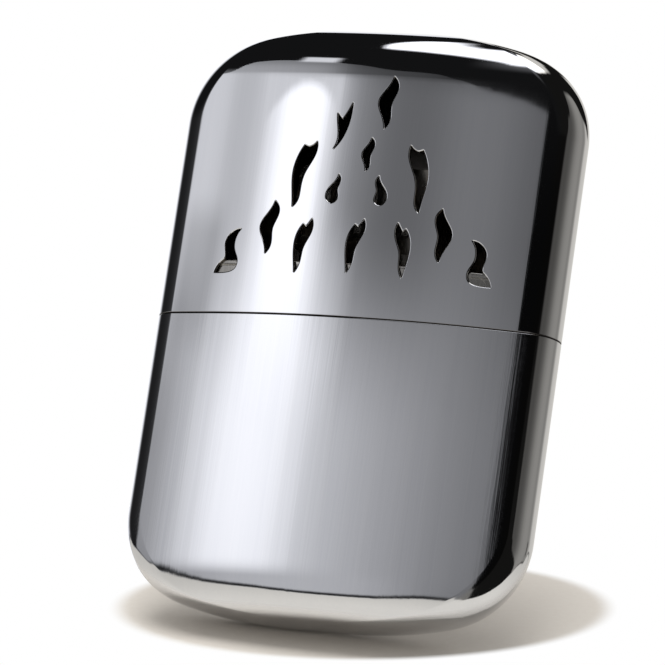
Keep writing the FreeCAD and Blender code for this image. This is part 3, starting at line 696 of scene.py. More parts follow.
def mixed(tree, factor, below, above):
    """A colour: below where factor is 0 and above where it is 1."""
    below, above = ((*colour, 1) if isinstance(colour, tuple) else colour for colour in (below, above))
    made = node(tree, "ShaderNodeMix", {"Factor": factor, "A": below, "B": above}, data_type="RGBA")
    return made.outputs["Result"]


def new_material(name):
    """An empty node material and its Principled shader."""
    material = bpy.data.materials.new(name)
    material.use_nodes = True
    tree = material.node_tree
    return material, tree, tree.nodes["Principled BSDF"]


def new_group(name, inputs, outputs):
    """A node group with named number inputs and outputs."""
    tree = bpy.data.node_groups.new(name, "ShaderNodeTree")
    for label, value in inputs:
        tree.interface.new_socket(label, in_out="INPUT", socket_type="NodeSocketFloat").default_value = value
    for label in outputs:
        tree.interface.new_socket(label, in_out="OUTPUT", socket_type="NodeSocketFloat")
    return tree, tree.nodes.new("NodeGroupInput"), tree.nodes.new("NodeGroupOutput")


print("helpers for materials are ready")

# %% [markdown]
# Brushing is the effect that most of the metal shares: fine grooves along one direction, never
# all of the same depth. A noise squeezed across the grooves and drawn out along them gives the
# grooves, a coarser one makes some bands rougher than others.

# %% Group: brushed grooves along Z
BROAD = (0.13, 0.13, 0.3)      # the broad waves are this share as close as the fine grooves


def brushed_group():
    """Height = fine grooves + broad waves; Shade = how much each band catches the light."""
    tree, given, result = new_group(
        "brushed_grooves", (("Across", 4000.0), ("Along", 60.0), ("Waves", 0.5)), ("Height", "Shade"))
    stretch = node(tree, "ShaderNodeCombineXYZ", {0: given.outputs["Across"], 1: given.outputs["Across"],
                                                  2: given.outputs["Along"]}).outputs[0]
    fine_at = node(tree, "ShaderNodeVectorMath", {0: object_place(tree), 1: stretch},
                   operation="MULTIPLY").outputs[0]
    broad_at = node(tree, "ShaderNodeVectorMath", {0: fine_at, 1: BROAD}, operation="MULTIPLY").outputs[0]
    fine = noise(tree, fine_at, 1.0, Detail=3.0, Roughness=0.6)
    broad = noise(tree, broad_at, 1.0, Detail=1.0)
    waves = math_node(tree, "MULTIPLY", broad, given.outputs["Waves"])
    tree.links.new(math_node(tree, "MULTIPLY_ADD", fine, 0.25, waves), result.inputs["Height"])
    shade = math_node(tree, "MULTIPLY_ADD", fine, 0.6, math_node(tree, "MULTIPLY", broad, 0.4))
    tree.links.new(shade, result.inputs["Shade"])
    return tree


brushed_grooves = brushed_group()


def grooved(tree, across, along, waves=0.5):
    """The outputs of brushed grooves with their closeness across and along, per metre."""
    return node(tree, "ShaderNodeGroup", {"Across": across, "Along": along, "Waves": waves},
                node_tree=brushed_grooves).outputs


print("node group:", brushed_grooves.name)

# %% [markdown]
# A warmer lives in a pocket, so its metal is never quite clean. Smudges are a soft noise that
# only its highest parts show, and scratches are the thin line where another noise, bent by a
# third, passes its middle value.

# %% Group: handling marks
SMUDGE_FROM, SMUDGE_TO = 0.5, 0.72
SCRATCH_BEND, SCRATCH_WIDTH = 0.012, 0.004


def marks_group():
    """Mask of handling marks: soft smudges and a few thin scratches, 0 on clean metal."""
    tree, given, result = new_group("handling_marks", (("Size", 60.0),), ("Smudge", "Scratch"))
    place_in = object_place(tree)
    cloud = noise(tree, place_in, given.outputs["Size"], Detail=4.0, Distortion=0.6)
    tree.links.new(ease(tree, cloud, SMUDGE_FROM, SMUDGE_TO), result.inputs["Smudge"])
    warp = noise(tree, place_in, 90.0, output="Color")
    bent = node(tree, "ShaderNodeVectorMath", {0: warp, 1: (SCRATCH_BEND,) * 3, 2: place_in},
                operation="MULTIPLY_ADD").outputs[0]
    lines = noise(tree, bent, 260.0, Detail=0.0)
    line = math_node(tree, "ABSOLUTE", math_node(tree, "SUBTRACT", lines, 0.5))
    tree.links.new(ease(tree, line, 0.0, SCRATCH_WIDTH, 1.0, 0.0), result.inputs["Scratch"])
    return tree


handling_marks = marks_group()


def marked(tree, size=60.0):
    """The outputs of handling marks, with how many smudges go on a metre."""
    return node(tree, "ShaderNodeGroup", {"Size": size}, node_tree=handling_marks).outputs


def finish(tree, shader, tint, rough, height, depth):
    """Gives a shader its colour, its roughness and a bump whose full height is depth metres."""
    bump = node(tree, "ShaderNodeBump", {"Strength": 1.0, "Distance": depth, "Height": height})
    tree.links.new(tint, shader.inputs["Base Color"])
    tree.links.new(rough, shader.inputs["Roughness"])
    tree.links.new(bump.outputs[0], shader.inputs["Normal"])


print("node group:", handling_marks.name)


# %% [markdown]
# The case is chrome over a lightly brushed sheet. Chrome has almost no colour of its own, a hint
# of blue-grey, and mirrors whatever stands round it, so its look is made of three small things:
# how far the grooves tip the normal, how rough the bands are, and a little haze where it is held.
# The lid is polished smoother than the tank, and a dark line of painted shade lies where the two meet, for
# the gap between them.

# %% Material: brushed chrome of the case
CHROME_DARK, CHROME_LIGHT, SEAM_SHADE = (0.66, 0.665, 0.685), (0.73, 0.73, 0.735), (0.05, 0.047, 0.044)
CHANGE_OVER = ((SEAM - 0.3) * MM, (SEAM + 0.3) * MM)   # where the tank's finish gives way to the lid's


def chrome():
    """Bright metal: smoother over the seam, with painted shade of the gap within 0.1 to 0.2 mm of it."""
    material, tree, shader = new_material("brushed_chrome")
    grooves, marks = grooved(tree, 3200.0, 34.0, 0.75), marked(tree)
    z = node(tree, "ShaderNodeSeparateXYZ", {0: object_place(tree)}).outputs[2]
    rough = math_node(tree, "MULTIPLY_ADD", grooves["Shade"], 0.05, 0.035)
    rough = math_node(tree, "MULTIPLY_ADD", marks["Smudge"], 0.03, rough)
    rough = times(tree, rough, ease(tree, z, *CHANGE_OVER, 1.0, 0.35))
    height = times(tree, grooves["Height"], ease(tree, z, *CHANGE_OVER, 1.4, 0.35))
    tint = mixed(tree, grooves["Shade"], CHROME_DARK, CHROME_LIGHT)
    # painted shade: within 0.1 to 0.2 mm of the seam the colour turns dark, for the gap between lid and tank
    from_seam = math_node(tree, "ABSOLUTE", math_node(tree, "SUBTRACT", z, SEAM * MM))
    tint = mixed(tree, ease(tree, from_seam, 0.1 * MM, 0.2 * MM, 1.0, 0.0), tint, SEAM_SHADE)
    finish(tree, shader, tint, rough, height, 0.008 * MM)
    shader.inputs["Metallic"].default_value = 1.0
    return material


brushed_chrome = chrome()
for piece in (lid, tank):
    piece.data.materials.append(brushed_chrome)
print("finish:", brushed_chrome.name)


# %% [markdown]
# Inside there are three plainer metals. The collar and the tank's top plate are sheet as it comes
# from the press, painted darker than that as shade, since little light reaches them. The burner's
# sleeve and frame are steel that has been hot, so duller, slightly straw-coloured and also painted
# darker as shade, and the screens are thin dark steel.

# %% Materials: sheet metal inside
STRAW = (0.62, 0.45, 0.24)


def sheet_metal(name, dark, light, rough_low, rough_high, groove_depth, across, along, heat=0.0):
    """Metal with grooves along Z, smudges in its roughness and, if it has been hot, a warm tint."""
    material, tree, shader = new_material(name)
    grooves, marks = grooved(tree, across, along), marked(tree, 140.0)
    tint = mixed(tree, grooves["Shade"], dark, light)
    if heat:
        tint = mixed(tree, math_node(tree, "MULTIPLY", marks["Smudge"], heat), tint, STRAW)
    spread = math_node(tree, "MULTIPLY_ADD", marks["Smudge"], 0.5,
                       math_node(tree, "MULTIPLY", grooves["Shade"], 0.5))
    rough = math_node(tree, "MULTIPLY_ADD", spread, rough_high - rough_low, rough_low)
    scratched = math_node(tree, "MULTIPLY_ADD", marks["Scratch"], -0.4, grooves["Height"])
    finish(tree, shader, tint, rough, scratched, groove_depth)
    shader.inputs["Metallic"].default_value = 1.0
    return material


print("straw colour of hot steel:", STRAW)

# %% [markdown]
# Each metal is then one line of numbers: its dark and its light colour, its roughness from and
# to, how deep and how close its grooves are, and how much of it has browned.

# %% The metals and the nodes that wear them
metals = {
    # painted shade: the collar sheet and the burner steel get dark colours for the shade inside the case
    "bright_collar": sheet_metal("bright_collar", (0.16, 0.155, 0.145), (0.50, 0.48, 0.44), 0.1, 0.3,
                                 0.03 * MM, 2600.0, 40.0),
    "burner_steel": sheet_metal("burner_steel", (0.26, 0.245, 0.22), (0.46, 0.43, 0.38), 0.22, 0.45,
                                0.03 * MM, 1800.0, 90.0, heat=0.45),
    "screen_steel": sheet_metal("screen_steel", (0.12, 0.115, 0.11), (0.26, 0.25, 0.235), 0.3, 0.55,
                                0.03 * MM, 2200.0, 200.0, heat=0.25),
    # painted shade: the lid's inside is coloured dark for the little light that reaches it
    "shaded_lid_inside": sheet_metal("shaded_lid_inside", (0.16, 0.15, 0.135), (0.34, 0.32, 0.29), 0.25, 0.5,
                              0.02 * MM, 1800.0, 60.0, heat=0.3),
}
METAL_NODES = {
    "tank_top_plate": "bright_collar", "filler_neck": "bright_collar",
    "burner_socket": "burner_steel", "burner_frame_front": "burner_steel",
    "burner_frame_rear": "burner_steel", "burner_screen_front": "screen_steel",
    "burner_screen_rear": "screen_steel",
}
for name, metal in METAL_NODES.items():
    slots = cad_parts[name].material_slots
    for one in slots:
        one.material = metals[metal]
    if not slots:
        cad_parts[name].data.materials.append(metals[metal])
print("metal nodes dressed:", len(METAL_NODES))

# %% [markdown]
# The lid's inside is painted darker than its outside as shade, for the little light that comes in
# through the vents, and the burner has browned it. It is the same piece of sheet, so it stays one
# mesh: the faces that look to the middle of the lid are told from the others by their normals, and
# get the second material.

# %% The lid's inner faces
LID_MIDDLE = (0, 0, (SEAM + 20) * MM)


def line_the_lid():
    """Inner faces are those where (middle of the face - middle of the lid) . normal < 0."""
    mesh = lid.data
    mesh.materials.append(metals["shaded_lid_inside"])
    middles, outward = np.empty((2, len(mesh.polygons) * 3))
    mesh.polygons.foreach_get("center", middles)
    mesh.polygons.foreach_get("normal", outward)
    from_middle = middles.reshape(-1, 3) - LID_MIDDLE
    inner = (from_middle * outward.reshape(-1, 3)).sum(1) < 0
    mesh.polygons.foreach_set("material_index", inner.astype(np.int32))
    return int(inner.sum())


print("inner faces of the lid:", line_the_lid())


# %% [markdown]
# Through the lowest vents one sees the collar's upper edge. Sheet that is rolled to an oval band
# gets a bead there, which stiffens it and guides the lid, and the bead's curve is what glints.
# Its section is a short list of points, carried round the case's own ovals.

# %% The collar with its bead
BAND_FACE, BAND_WALL, RECESS = 0.58, 0.5, 0.12         # all in from the case's skin


def collar_band():
    """The collar's section (inset, height) round the case: foot, shallow recess, bead, inside.

    With r half the band's wall, the bead goes from the band's face: r - r cos t in and r sin t
    up, for t from 0 to half a turn.
    """
    low, top = (corner[2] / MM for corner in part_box("inner_collar"))
    turn, bead = np.linspace(0, np.pi, 13), BAND_WALL / 2
    inset = BAND_FACE + np.concatenate([[0, 0, RECESS, RECESS, 0.08, 0.02, 0], bead - bead * np.cos(turn),
                                        [BAND_WALL, BAND_WALL, 0]])
    height = np.concatenate([[low, SEAM - 0.3, SEAM, top - 1.15, top - 0.95, top - 0.75, top - 0.5],
                             top - bead + bead * np.sin(turn), [low + 0.01, low, low]])
    out, up = np.gradient(height), np.gradient(inset)
    out[[-2, -1, 0]], up[[-2, -1, 0]] = (0, 0, 1), (-1, -1, 0)
    size = np.hypot(out, up)
    rows = []
    for one_inset, one_height, one_out, one_up in zip(inset, height, out / size, up / size):
        flat, outward = (part[0] for part in ovals([BARREL], one_inset))
        z = np.full((COLUMNS, 1), one_height)
        rows.append((np.concatenate([flat, z], -1),
                     np.concatenate([outward * one_out, np.full((COLUMNS, 1), one_up)], -1)))
    points, normals = (np.stack(part) for part in zip(*rows))
    return strip(points, normals)


collar = add_piece("collar_band", make_mesh("collar_band", [collar_band()]), "tank",
                   ["inner_collar"])
collar.data.materials.append(metals["bright_collar"])


# %% [markdown]
# Four pieces are soft: the felt plug in the neck, the cotton wadding in the tank, the catalyst
# mat folded in the burner and the fibre core inside the fold. Solid blocks would look like
# plastic, so each gets a surface of its own: a closed rounded block whose skin is raised and
# sunk by layers of waves that never repeat in step, and a material with fibres.

# %% Soft blocks with a fibrous skin
WAVE_LENGTHS = (6.0, 3.1, 1.7, 0.9)


def soft_box(half, middle, power, counts, swell, seed):
    """A rounded block worked out on a sphere-like grid of longitude u and latitude v.

    The direction (cos v cos u, cos v sin u, sin v) is raised to a power, which squares the
    sphere up: x = a sign(c) |c|^power. Products of sines in x, y and z sink the skin by swell.
    """
    u = np.linspace(0, 2 * np.pi, counts[0], endpoint=False)
    v = np.linspace(-np.pi / 2, np.pi / 2, counts[1])
    u, v = np.meshgrid(u, v)

    def squared(value):
        """The size of a value raised to the power, with its sign."""
        return np.sign(value) * np.abs(value) ** power

    points = np.stack([half[0] * squared(np.cos(v)) * squared(np.cos(u)),
                       half[1] * squared(np.cos(v)) * squared(np.sin(u)),
                       half[2] * squared(np.sin(v))], -1)
    random = np.random.default_rng(seed)
    lift = np.zeros(points.shape[:2])
    for size in WAVE_LENGTHS:
        direction = random.normal(size=(3, 3)) / size * 2
        phase = random.uniform(0, 2 * np.pi, 3)
        lift += size / 6 * np.sin(points @ direction + phase).prod(-1)
    outward = points / np.array(half) ** 2
    outward /= np.maximum(np.linalg.norm(outward, axis=-1, keepdims=True), 1e-9)
    points = points + swell * (np.minimum(lift, 0.5) - 0.5)[..., None] * outward
    points[0], points[-1] = points[0].mean(0), points[-1].mean(0)
    return points + np.array(middle)


def closed_grid(points):
    """A grid whose first and last rows are poles, as a chunk of quads and two fans."""
    rows, columns = points.shape[:2]
    body = grid_faces(rows, columns)[1:-1].reshape(-1, 4)
    index = np.arange(rows * columns).reshape(rows, columns)
    foot = np.stack([index[0], np.roll(index[1], -1), index[1]], -1)
    head = np.stack([index[-2], np.roll(index[-2], -1), index[-1]], -1)
    flat = points.reshape(-1, 3)
    blank = np.zeros_like(flat)
    return [(flat, body, blank), (flat, foot, blank), (flat, head, blank)]


def soft_piece(name, cad_node, body, power, counts, swell, seed):
    """A soft block as large as the CAD node's box, in its place."""
    low, high = (np.array(corner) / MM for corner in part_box(cad_node))
    chunks = closed_grid(soft_box((high - low) / 2, (high + low) / 2, power, counts, swell, seed))
    return add_piece(name, make_mesh(name, chunks, smooth_normals=False), body, [cad_node])


felt_plug = soft_piece("felt_plug", "neck_felt", "tank", 0.22, (96, 33), 0.16, 3)
mat = soft_piece("catalyst_fleece", "catalyst_mat", "burner", 0.16, (128, 49), 0.1, 7)
core = soft_piece("glass_fibre_core", "fibre_core", "burner", 0.16, (96, 49), 0.2, 9)

# %% [markdown]
# Cotton is stuffed into the tank until it is full, so a block would be the wrong form: it takes
# the tank's own shape. The ovals of the case, moved in, give that shape, with a step where the
# collar leaves less room, and slow waves in all three directions make it lumpy.

# %% The cotton in the tank
COTTON_INSET, NECK_INSET = 1.0, 1.6
COTTON_SHOULDER, NECK_FOOT, COTTON_TOP = 41.2, 41.6, 49.2      # heights over the tank's end
END_SHARES = (0, 0.3, 0.6, 0.85)
LUMP_DEPTH = 0.006


def wadding():
    """The case's ovals from the tank's end to the top of the cotton, closed at both ends.

    A lump is sin(a . p) sin(b . p) + half of another such product, for a point p, and it draws
    the skin in along the width, and three times as much along the depth.
    """
    foot = COTTON_INSET + 0.5 * EDGE_RISE * (1 - np.cos(np.linspace(0, np.pi / 2, 8)))
    low_part = np.concatenate([foot, np.linspace(foot[-1], COTTON_SHOULDER, 44)[1:]])
    neck = np.linspace(NECK_FOOT, COTTON_TOP, 9)
    flat = np.concatenate([ovals(low_part, COTTON_INSET)[0], ovals(neck, NECK_INSET)[0]])
    depth = np.repeat(np.concatenate([low_part, neck])[:, None], COLUMNS, 1)
    points = np.concatenate([flat, depth[..., None]], -1)
    foot_rows = [points[0] * (share, share, 1) for share in END_SHARES]
    head_rows = [points[-1] * (share, share, 1) for share in END_SHARES[::-1]]
    points = np.concatenate([foot_rows, points, head_rows])
    lump = (np.sin(points @ (0.9, 0.4, 0.5)) * np.sin(points @ (-0.3, 1.1, 0.7))
            + 0.5 * np.sin(points @ (1.7, -0.6, 1.3)) * np.sin(points @ (0.5, 0.8, -2.1)))
    return points * (1 - LUMP_DEPTH * (1.5 - lump)[..., None] * (1, 3, 0))


cotton = add_piece("cotton_wadding", make_mesh("cotton_wadding", closed_grid(wadding()), False),
                   "tank", ["tank_wadding"])


# %% [markdown]
# Fibres lie in every direction on felt and cotton. A noise that is pushed about by another noise
# looks like matted hair from near by and like cloth from far off.

# %% Material: fibres
FIBRE_BEND = 0.006


def fibre_material(name, dark, light, fibre_scale, lift, sheen=0.3):
    """Matted fibres: warped noise for height, and the same noise for colour, darker in the gaps as painted
    shade.
    """
    material, tree, shader = new_material(name)
    place_in = object_place(tree)
    warp = noise(tree, place_in, fibre_scale * 0.35, output="Color", Detail=2.0)
    bend = node(tree, "ShaderNodeVectorMath", {0: warp, 1: (FIBRE_BEND,) * 3, 2: place_in},
                operation="MULTIPLY_ADD").outputs[0]
    fibres = noise(tree, bend, fibre_scale, Detail=6.0, Roughness=0.7)
    # painted shade: the fibres' low gaps get the dark colour
    gaps = ease(tree, fibres, 0.32, 0.62)
    finish(tree, shader, mixed(tree, gaps, dark, light), ease(tree, gaps, 0.0, 1.0, 0.95, 0.8), fibres, lift)
    shader.inputs["Sheen Weight"].default_value = sheen
    return material


soft_pieces = (
    (felt_plug, fibre_material("felt", (0.42, 0.40, 0.35), (0.74, 0.71, 0.64), 2600.0, 0.2 * MM)),
    (cotton, fibre_material("cotton", (0.60, 0.58, 0.54), (0.86, 0.85, 0.81), 1500.0, 0.4 * MM)),
    (mat, fibre_material("catalyst", (0.10, 0.095, 0.09), (0.30, 0.29, 0.27), 2800.0, 0.2 * MM, 0.1)),
    (core, fibre_material("fibre", (0.55, 0.55, 0.53), (0.84, 0.84, 0.82), 3000.0, 0.2 * MM)))
for piece, material in soft_pieces:
    piece.data.materials.append(material)
print("soft pieces dressed:", len(soft_pieces))

# %% [markdown]
# The camera looks slightly up at the case, which leans back on the floor. In the case's own
# frame that means: the camera sits a little below the middle, turned 21 degrees to the right and
# rolled, and it is the floor that is tilted. A long lens keeps the sides almost parallel.

# %% Camera
AZIMUTH, ELEVATION, ROLL_ANGLE = (math.radians(a) for a in (21.11, -13.03, 8.36))
DISTANCE = 916.72 * MM
FOCAL, MIDDLE_X, MIDDLE_Y, FRAME = 5755.68, 357.91, 330.57, 665
back = Vector((math.sin(AZIMUTH) * math.cos(ELEVATION), -math.cos(AZIMUTH) * math.cos(ELEVATION),
               math.sin(ELEVATION)))
level = Vector((math.cos(AZIMUTH), math.sin(AZIMUTH), 0))
upright = back.cross(level)
across = math.cos(ROLL_ANGLE) * level + math.sin(ROLL_ANGLE) * upright
up = math.cos(ROLL_ANGLE) * upright - math.sin(ROLL_ANGLE) * level
turned = Matrix((across, up, back)).transposed().to_4x4()
lens = bpy.data.cameras.new("camera")
lens.sensor_width = 36.0
lens.lens = FOCAL / FRAME * lens.sensor_width
lens.shift_x = (FRAME / 2 - MIDDLE_X) / FRAME
lens.shift_y = (MIDDLE_Y - FRAME / 2) / FRAME
lens.clip_start, lens.clip_end = 0.01, 20.0
camera = bpy.data.objects.new("camera", lens)
camera.matrix_world = Matrix.Translation(Vector((0, 0, HEIGHT / 2 * MM)) + back * DISTANCE) @ turned
bpy.context.scene.collection.objects.link(camera)
bpy.context.scene.camera = camera
print(f"lens {lens.lens:.1f} mm at {DISTANCE:.3f} m")

# %% [markdown]
# The floor passes under the lowest point of the case's foot and tilts with the camera. It is a
# wide disc: an oval patch round the foot is painted beige and darker as shade, and the lamp's soft
# shadow lies in it too; beyond it the floor is plain white for the camera. Mirrored rays pass
# through it beyond the patch, so that the chrome shows the tent there, and from below it is clear,
# so that it never hides the case in other views.

# %% Floor
FLOOR_ANGLE = math.radians(15.0)
floor_normal = math.cos(FLOOR_ANGLE) * up + math.sin(FLOOR_ANGLE) * back
tank_points = np.empty(len(tank.data.vertices) * 3)
tank.data.vertices.foreach_get("co", tank_points)
tank_points = tank_points.reshape(-1, 3)
support = Vector(tank_points[(tank_points @ np.array(floor_normal)).argmin()])


def disc(name, radius, rings, segments):
    """A flat disc of rings and spokes in the plane z = 0, with a fan of triangles in its middle."""
    share = np.linspace(0, 1, rings + 1)[1:, None] ** 2
    angle = np.linspace(0, 2 * np.pi, segments, endpoint=False)
    ring = np.stack([share * np.cos(angle), share * np.sin(angle), 0 * share * angle], -1) * radius / MM
    faces = grid_faces(rings, segments).reshape(-1, 4)[:, ::-1]
    near = np.arange(segments)
    fan = np.stack([near, np.roll(near, -1), np.full(segments, segments)], -1)
    points, middle = ring.reshape(-1, 3), np.concatenate([ring[0], np.zeros((1, 3))])
    return make_mesh(name, [(points, faces, np.zeros_like(points)), (middle, fan, np.zeros_like(middle))],
                     smooth_normals=False)


floor = bpy.data.objects.new("floor", disc("floor", 0.9, 24, 96))
along = floor_normal.cross(across)
floor.matrix_world = (Matrix.Translation(support)
                      @ Matrix((across, along, floor_normal)).transposed().to_4x4())
bpy.context.scene.collection.objects.link(floor)
print("floor through", [round(v, 4) for v in support])

# %% [markdown]
# The floor could be one even colour. Here a patch near the foot is painted warm and darker as
# shade, and the floor is white beyond it. The share of the way from the patch's middle to its edge
# says which part a point is in, and Light Path says which kind of ray asks.

# %% Material: the floor and its painted shade patch
SHADE_PATCH_MIDDLE, SHADE_PATCH_HALF = (0.015, 0.010), (0.040, 0.027)      # from the case's foot, in metres
FADE_SEEN, FADE_MIRRORED = (0.93, 1.03), (0.8, 1.4)            # shares of the patch's half sizes
# painted shade: the patch's beige colours darken the floor round the foot
SHADE_PATCH_DARK, SHADE_PATCH_LIGHT = (0.69, 0.64, 0.58), (0.73, 0.69, 0.63)


def floor_material():
    """Share of the way out = |(place - middle) / half sizes|: painted beige shade up to 1, white beyond it.
    """
    material, tree, shader = new_material("pale_floor_painted_shade")
    place_in = object_place(tree)
    middle = node(tree, "ShaderNodeVectorMath", {0: place_in, 1: (*SHADE_PATCH_MIDDLE, 0)},
                  operation="SUBTRACT").outputs[0]
    share = node(tree, "ShaderNodeVectorMath", {0: middle, 1: (1 / SHADE_PATCH_HALF[0], 1 / SHADE_PATCH_HALF[1], 1)},
                 operation="MULTIPLY").outputs[0]
    away = node(tree, "ShaderNodeVectorMath", {0: share}, operation="LENGTH").outputs["Value"]
    tint = mixed(tree, noise(tree, place_in, 900.0), SHADE_PATCH_DARK, SHADE_PATCH_LIGHT)
    tree.links.new(tint, shader.inputs["Base Color"])
    shader.inputs["Roughness"].default_value = 0.9
    shader.inputs["Specular IOR Level"].default_value = 0.1
    white = node(tree, "ShaderNodeEmission", {"Strength": 1.0})
    clear = node(tree, "ShaderNodeBsdfTransparent")
    path = node(tree, "ShaderNodeLightPath")
    far_seen = times(tree, ease(tree, away, *FADE_SEEN), path.outputs["Is Camera Ray"])
    far_mirrored = times(tree, ease(tree, away, *FADE_MIRRORED), path.outputs["Is Glossy Ray"])
    pale = node(tree, "ShaderNodeMixShader", {0: far_seen, 1: shader.outputs[0], 2: white.outputs[0]})
    open_far = node(tree, "ShaderNodeMixShader", {0: far_mirrored, 1: pale.outputs[0], 2: clear.outputs[0]})
    under = node(tree, "ShaderNodeNewGeometry").outputs["Backfacing"]
    both = node(tree, "ShaderNodeMixShader", {0: under, 1: open_far.outputs[0], 2: clear.outputs[0]})
    tree.links.new(both.outputs[0], tree.nodes["Material Output"].inputs["Surface"])
    return material


floor.data.materials.append(floor_material())
print("floor's patch:", [round(2 * half, 3) for half in SHADE_PATCH_HALF], "m")

# %% [markdown]
# Polished metal shows the studio more than itself. Lamps alone would leave it black with a few
# hot spots, so the case stands in a light tent, as in a studio: a sphere of cloth and cards that
# only reflections can see. A place on it is an azimuth and an elevation in degrees, and azimuth 0
# is straight in front. Each edge is drawn as a line through a few points. In front hangs
# a grey card. Under it lies pale cloth, over it a ceiling light cut off by a black flag, and pale
# cloth hangs on both sides behind black flags.

# %% Edges of the cards in the light tent
CARD_LEFT, CARD_RIGHT = -51.4, 8.2
# azimuth, elevation
CARD_TOP = ((-51.4, 17), (-47.7, 18), (-45.4, 20.7), (-42.9, 23.3), (-37, 24.4), (-25.7, 22.7),
            (-18.2, 20.3), (-12.1, 19.8), (-6.8, 18.2), (-3.5, 17.7), (0.9, 17.57), (5, 17.46), (8.2, 17.3))
CLOTH_EDGE = ((-180, -44), (-160, -44), (-149, -36), (-144, -12), (-138, 0), (-126, 0.5), (-104, -5),
              (-72, -7.2), (-58, -3.7), (-53, -0.6), (-48, 0.3), (-45, -1), (-42, -5.2), (-34, -14),
              (-30, -16), (-26, -18.8), (-16, -21.8), (0, -13), (4, -12.5), (9, -13.5), (13, -18),
              (21, -28.5), (30, -36), (66, -48), (93, -36), (102, -22), (120, -9), (129, -7.5),
              (146, 2), (156, -2), (163, -36), (180, -44))
SKIRT_TOP = ((-104, -52), (-97, -8), (-88, -4), (-58, 8), (-50, 12), (6, 8), (14, 2.5), (26, -15),
             (34, -22), (38, -28), (60, -52))
CEILING_EDGE = ((-180, 60), (-138, 74), (-120, 80), (-66, 80), (-46, 69), (-38, 61.5), (-30, 49.5),
                (-26, 44.5), (-18, 42.6), (-2, 35.4), (2, 32.4), (6, 34.5), (18, 41.5), (22, 44.5),
                (70, 65.5), (90, 68), (150, 66), (165, 61), (180, 60))
CEILING_TOP = ((-180, 72), (-60, 74), (-20, 63.5), (-10, 60), (16, 76), (34, 84), (100, 86), (180, 72))
SIDE_TOP = ((-180, 37), (-168, 30), (-160, 60), (-152, 68), (-144, 66), (-128, 41), (-116, 39),
            (-108, 30), (-104, 18), (48, 17), (57, 28), (66, 32), (93, 51), (102, 51), (129, 34),
            (147, 25), (156, 20), (174, 41), (180, 37))
SIDE_FOOT = ((-180, 2), (-160, 8), (-150, 5), (-141, -14), (-136, -40), (30, -20), (44, 13), (58, 6.5),
             (63, 1), (93, -12), (106, -25), (120, -45), (152, -45), (158, -12), (166, -8), (180, 2))
print("edges drawn with", sum(len(line) for line in (CARD_TOP, CLOTH_EDGE, SKIRT_TOP, CEILING_EDGE,
                                                     CEILING_TOP, SIDE_TOP, SIDE_FOOT)), "points")

# %% [markdown]
# How bright the cards are changes along the azimuth, because a lamp behind them makes one soft
# glow left of the middle. Four lines say so at four heights of the grey card, from its foot to
# its brow, and a fifth along the cloth at the sides.

# %% Lightness of the cards
# azimuth, lightness as the metal shows it, where 1 is white
CARD_LOW = ((-52, 0.25), (-46, 0.27), (-26, 0.42), (2, 0.2), (9, 0.145))
CARD_MIDDLE = ((-52, 0.27), (-50, 0.31), (-42, 0.69), (-34, 0.94), (-26, 0.75), (-22, 0.54), (-2, 0.242),
               (9, 0.16))
CARD_HIGH = ((-52, 0.6), (-48, 0.57), (-44, 0.47), (-41, 0.52), (-38, 0.78), (-32, 1.1), (-28, 0.74),
             (-24, 0.28), (-21, 0.18), (-13, 0.12), (-3, 0.16), (9, 0.1))
CARD_BROW = ((-52, 0.36), (-32, 0.27), (-23, 0.075), (-8, 0.03), (-5, 0.012), (9, 0.006))
SIDES = ((-180, 0.49), (-160, 0.58), (-152, 0.8), (-144, 0.78), (-120, 0.31), (-104, 0.012),
         (-60, 0.03), (-55, 0.17), (-51, 0.42), (8, 0.002), (46, 0.002), (55, 0.055), (66, 0.06),
         (113, 0.22), (126, 0.19), (144, 0.47), (180, 0.49))
FLAG, BACK_FLAG = 0.006, 0.10
CEILING_FRONT, CEILING_BACK = 1.3, 0.5
CLOTH_LOW, CLOTH_HIGH = 0.60, 0.47
CHROME_SHINE = 0.665                      # the share of light that the metal gives back
print("brightest part of the grey card:", max(light for _, light in CARD_HIGH))

# %% [markdown]
# The lines could be baked into an image, but a Float Curve node draws them exactly and smoothly
# at any size. The other helpers mark where something lies: over an edge, or near a place.

# %% Helpers that draw on the tent
def drawn(tree, value, points):
    """A smooth line through the points that never overshoots: value in, the line's height out."""
    points = np.array(points, float)
    low, span = points.min(0), np.ptp(points, axis=0)
    share = math_node(tree, "MULTIPLY_ADD", value, 1 / span[0], -low[0] / span[0], clamp=True)
    made = node(tree, "ShaderNodeFloatCurve", {"Value": share})
    line = made.mapping.curves[0]
    for _ in points[2:]:
        line.points.new(0.5, 0.5)
    for point, at in zip(line.points, (points - low) / span):
        point.location, point.handle_type = at, "AUTO_CLAMPED"
    made.mapping.update()
    return math_node(tree, "MULTIPLY_ADD", made.outputs[0], span[1], low[1])


def blend(tree, factor, below, above):
    """above where factor is 1, below where it is 0; both are numbers or sockets."""
    made = node(tree, "ShaderNodeMix", {"Factor": factor, "A": below, "B": above}, data_type="FLOAT")
    return made.outputs[0]


def without(tree, factor):
    """1 where factor is 0, and 0 where it is 1."""
    return math_node(tree, "SUBTRACT", 1.0, factor)


def above(tree, place_in, edge, soft):
    """0 under an edge and 1 over it, soft degrees to both sides."""
    azimuth, height = place_in
    return ease(tree, math_node(tree, "SUBTRACT", height, drawn(tree, azimuth, edge)), -soft, soft)


def near(tree, value, middle, half, soft):
    """1 within half of a middle value, and 0 soft beyond that."""
    away = math_node(tree, "ABSOLUTE", math_node(tree, "SUBTRACT", value, middle))
    return ease(tree, away, half, half + soft, 1.0, 0.0)


def spot(tree, place_in, in_azimuth, in_height):
    """1 near a place and 0 away from it; both ways have a middle, a half size and a softness."""
    azimuth, height = place_in
    return times(tree, near(tree, azimuth, *in_azimuth), near(tree, height, *in_height))


print("helpers for the tent are ready")

# %% [markdown]
# The grey card makes the broad face of the case: dark to the right, with one glow that is round
# at its top, wider at half height, and cut off by the darker brow of the card.

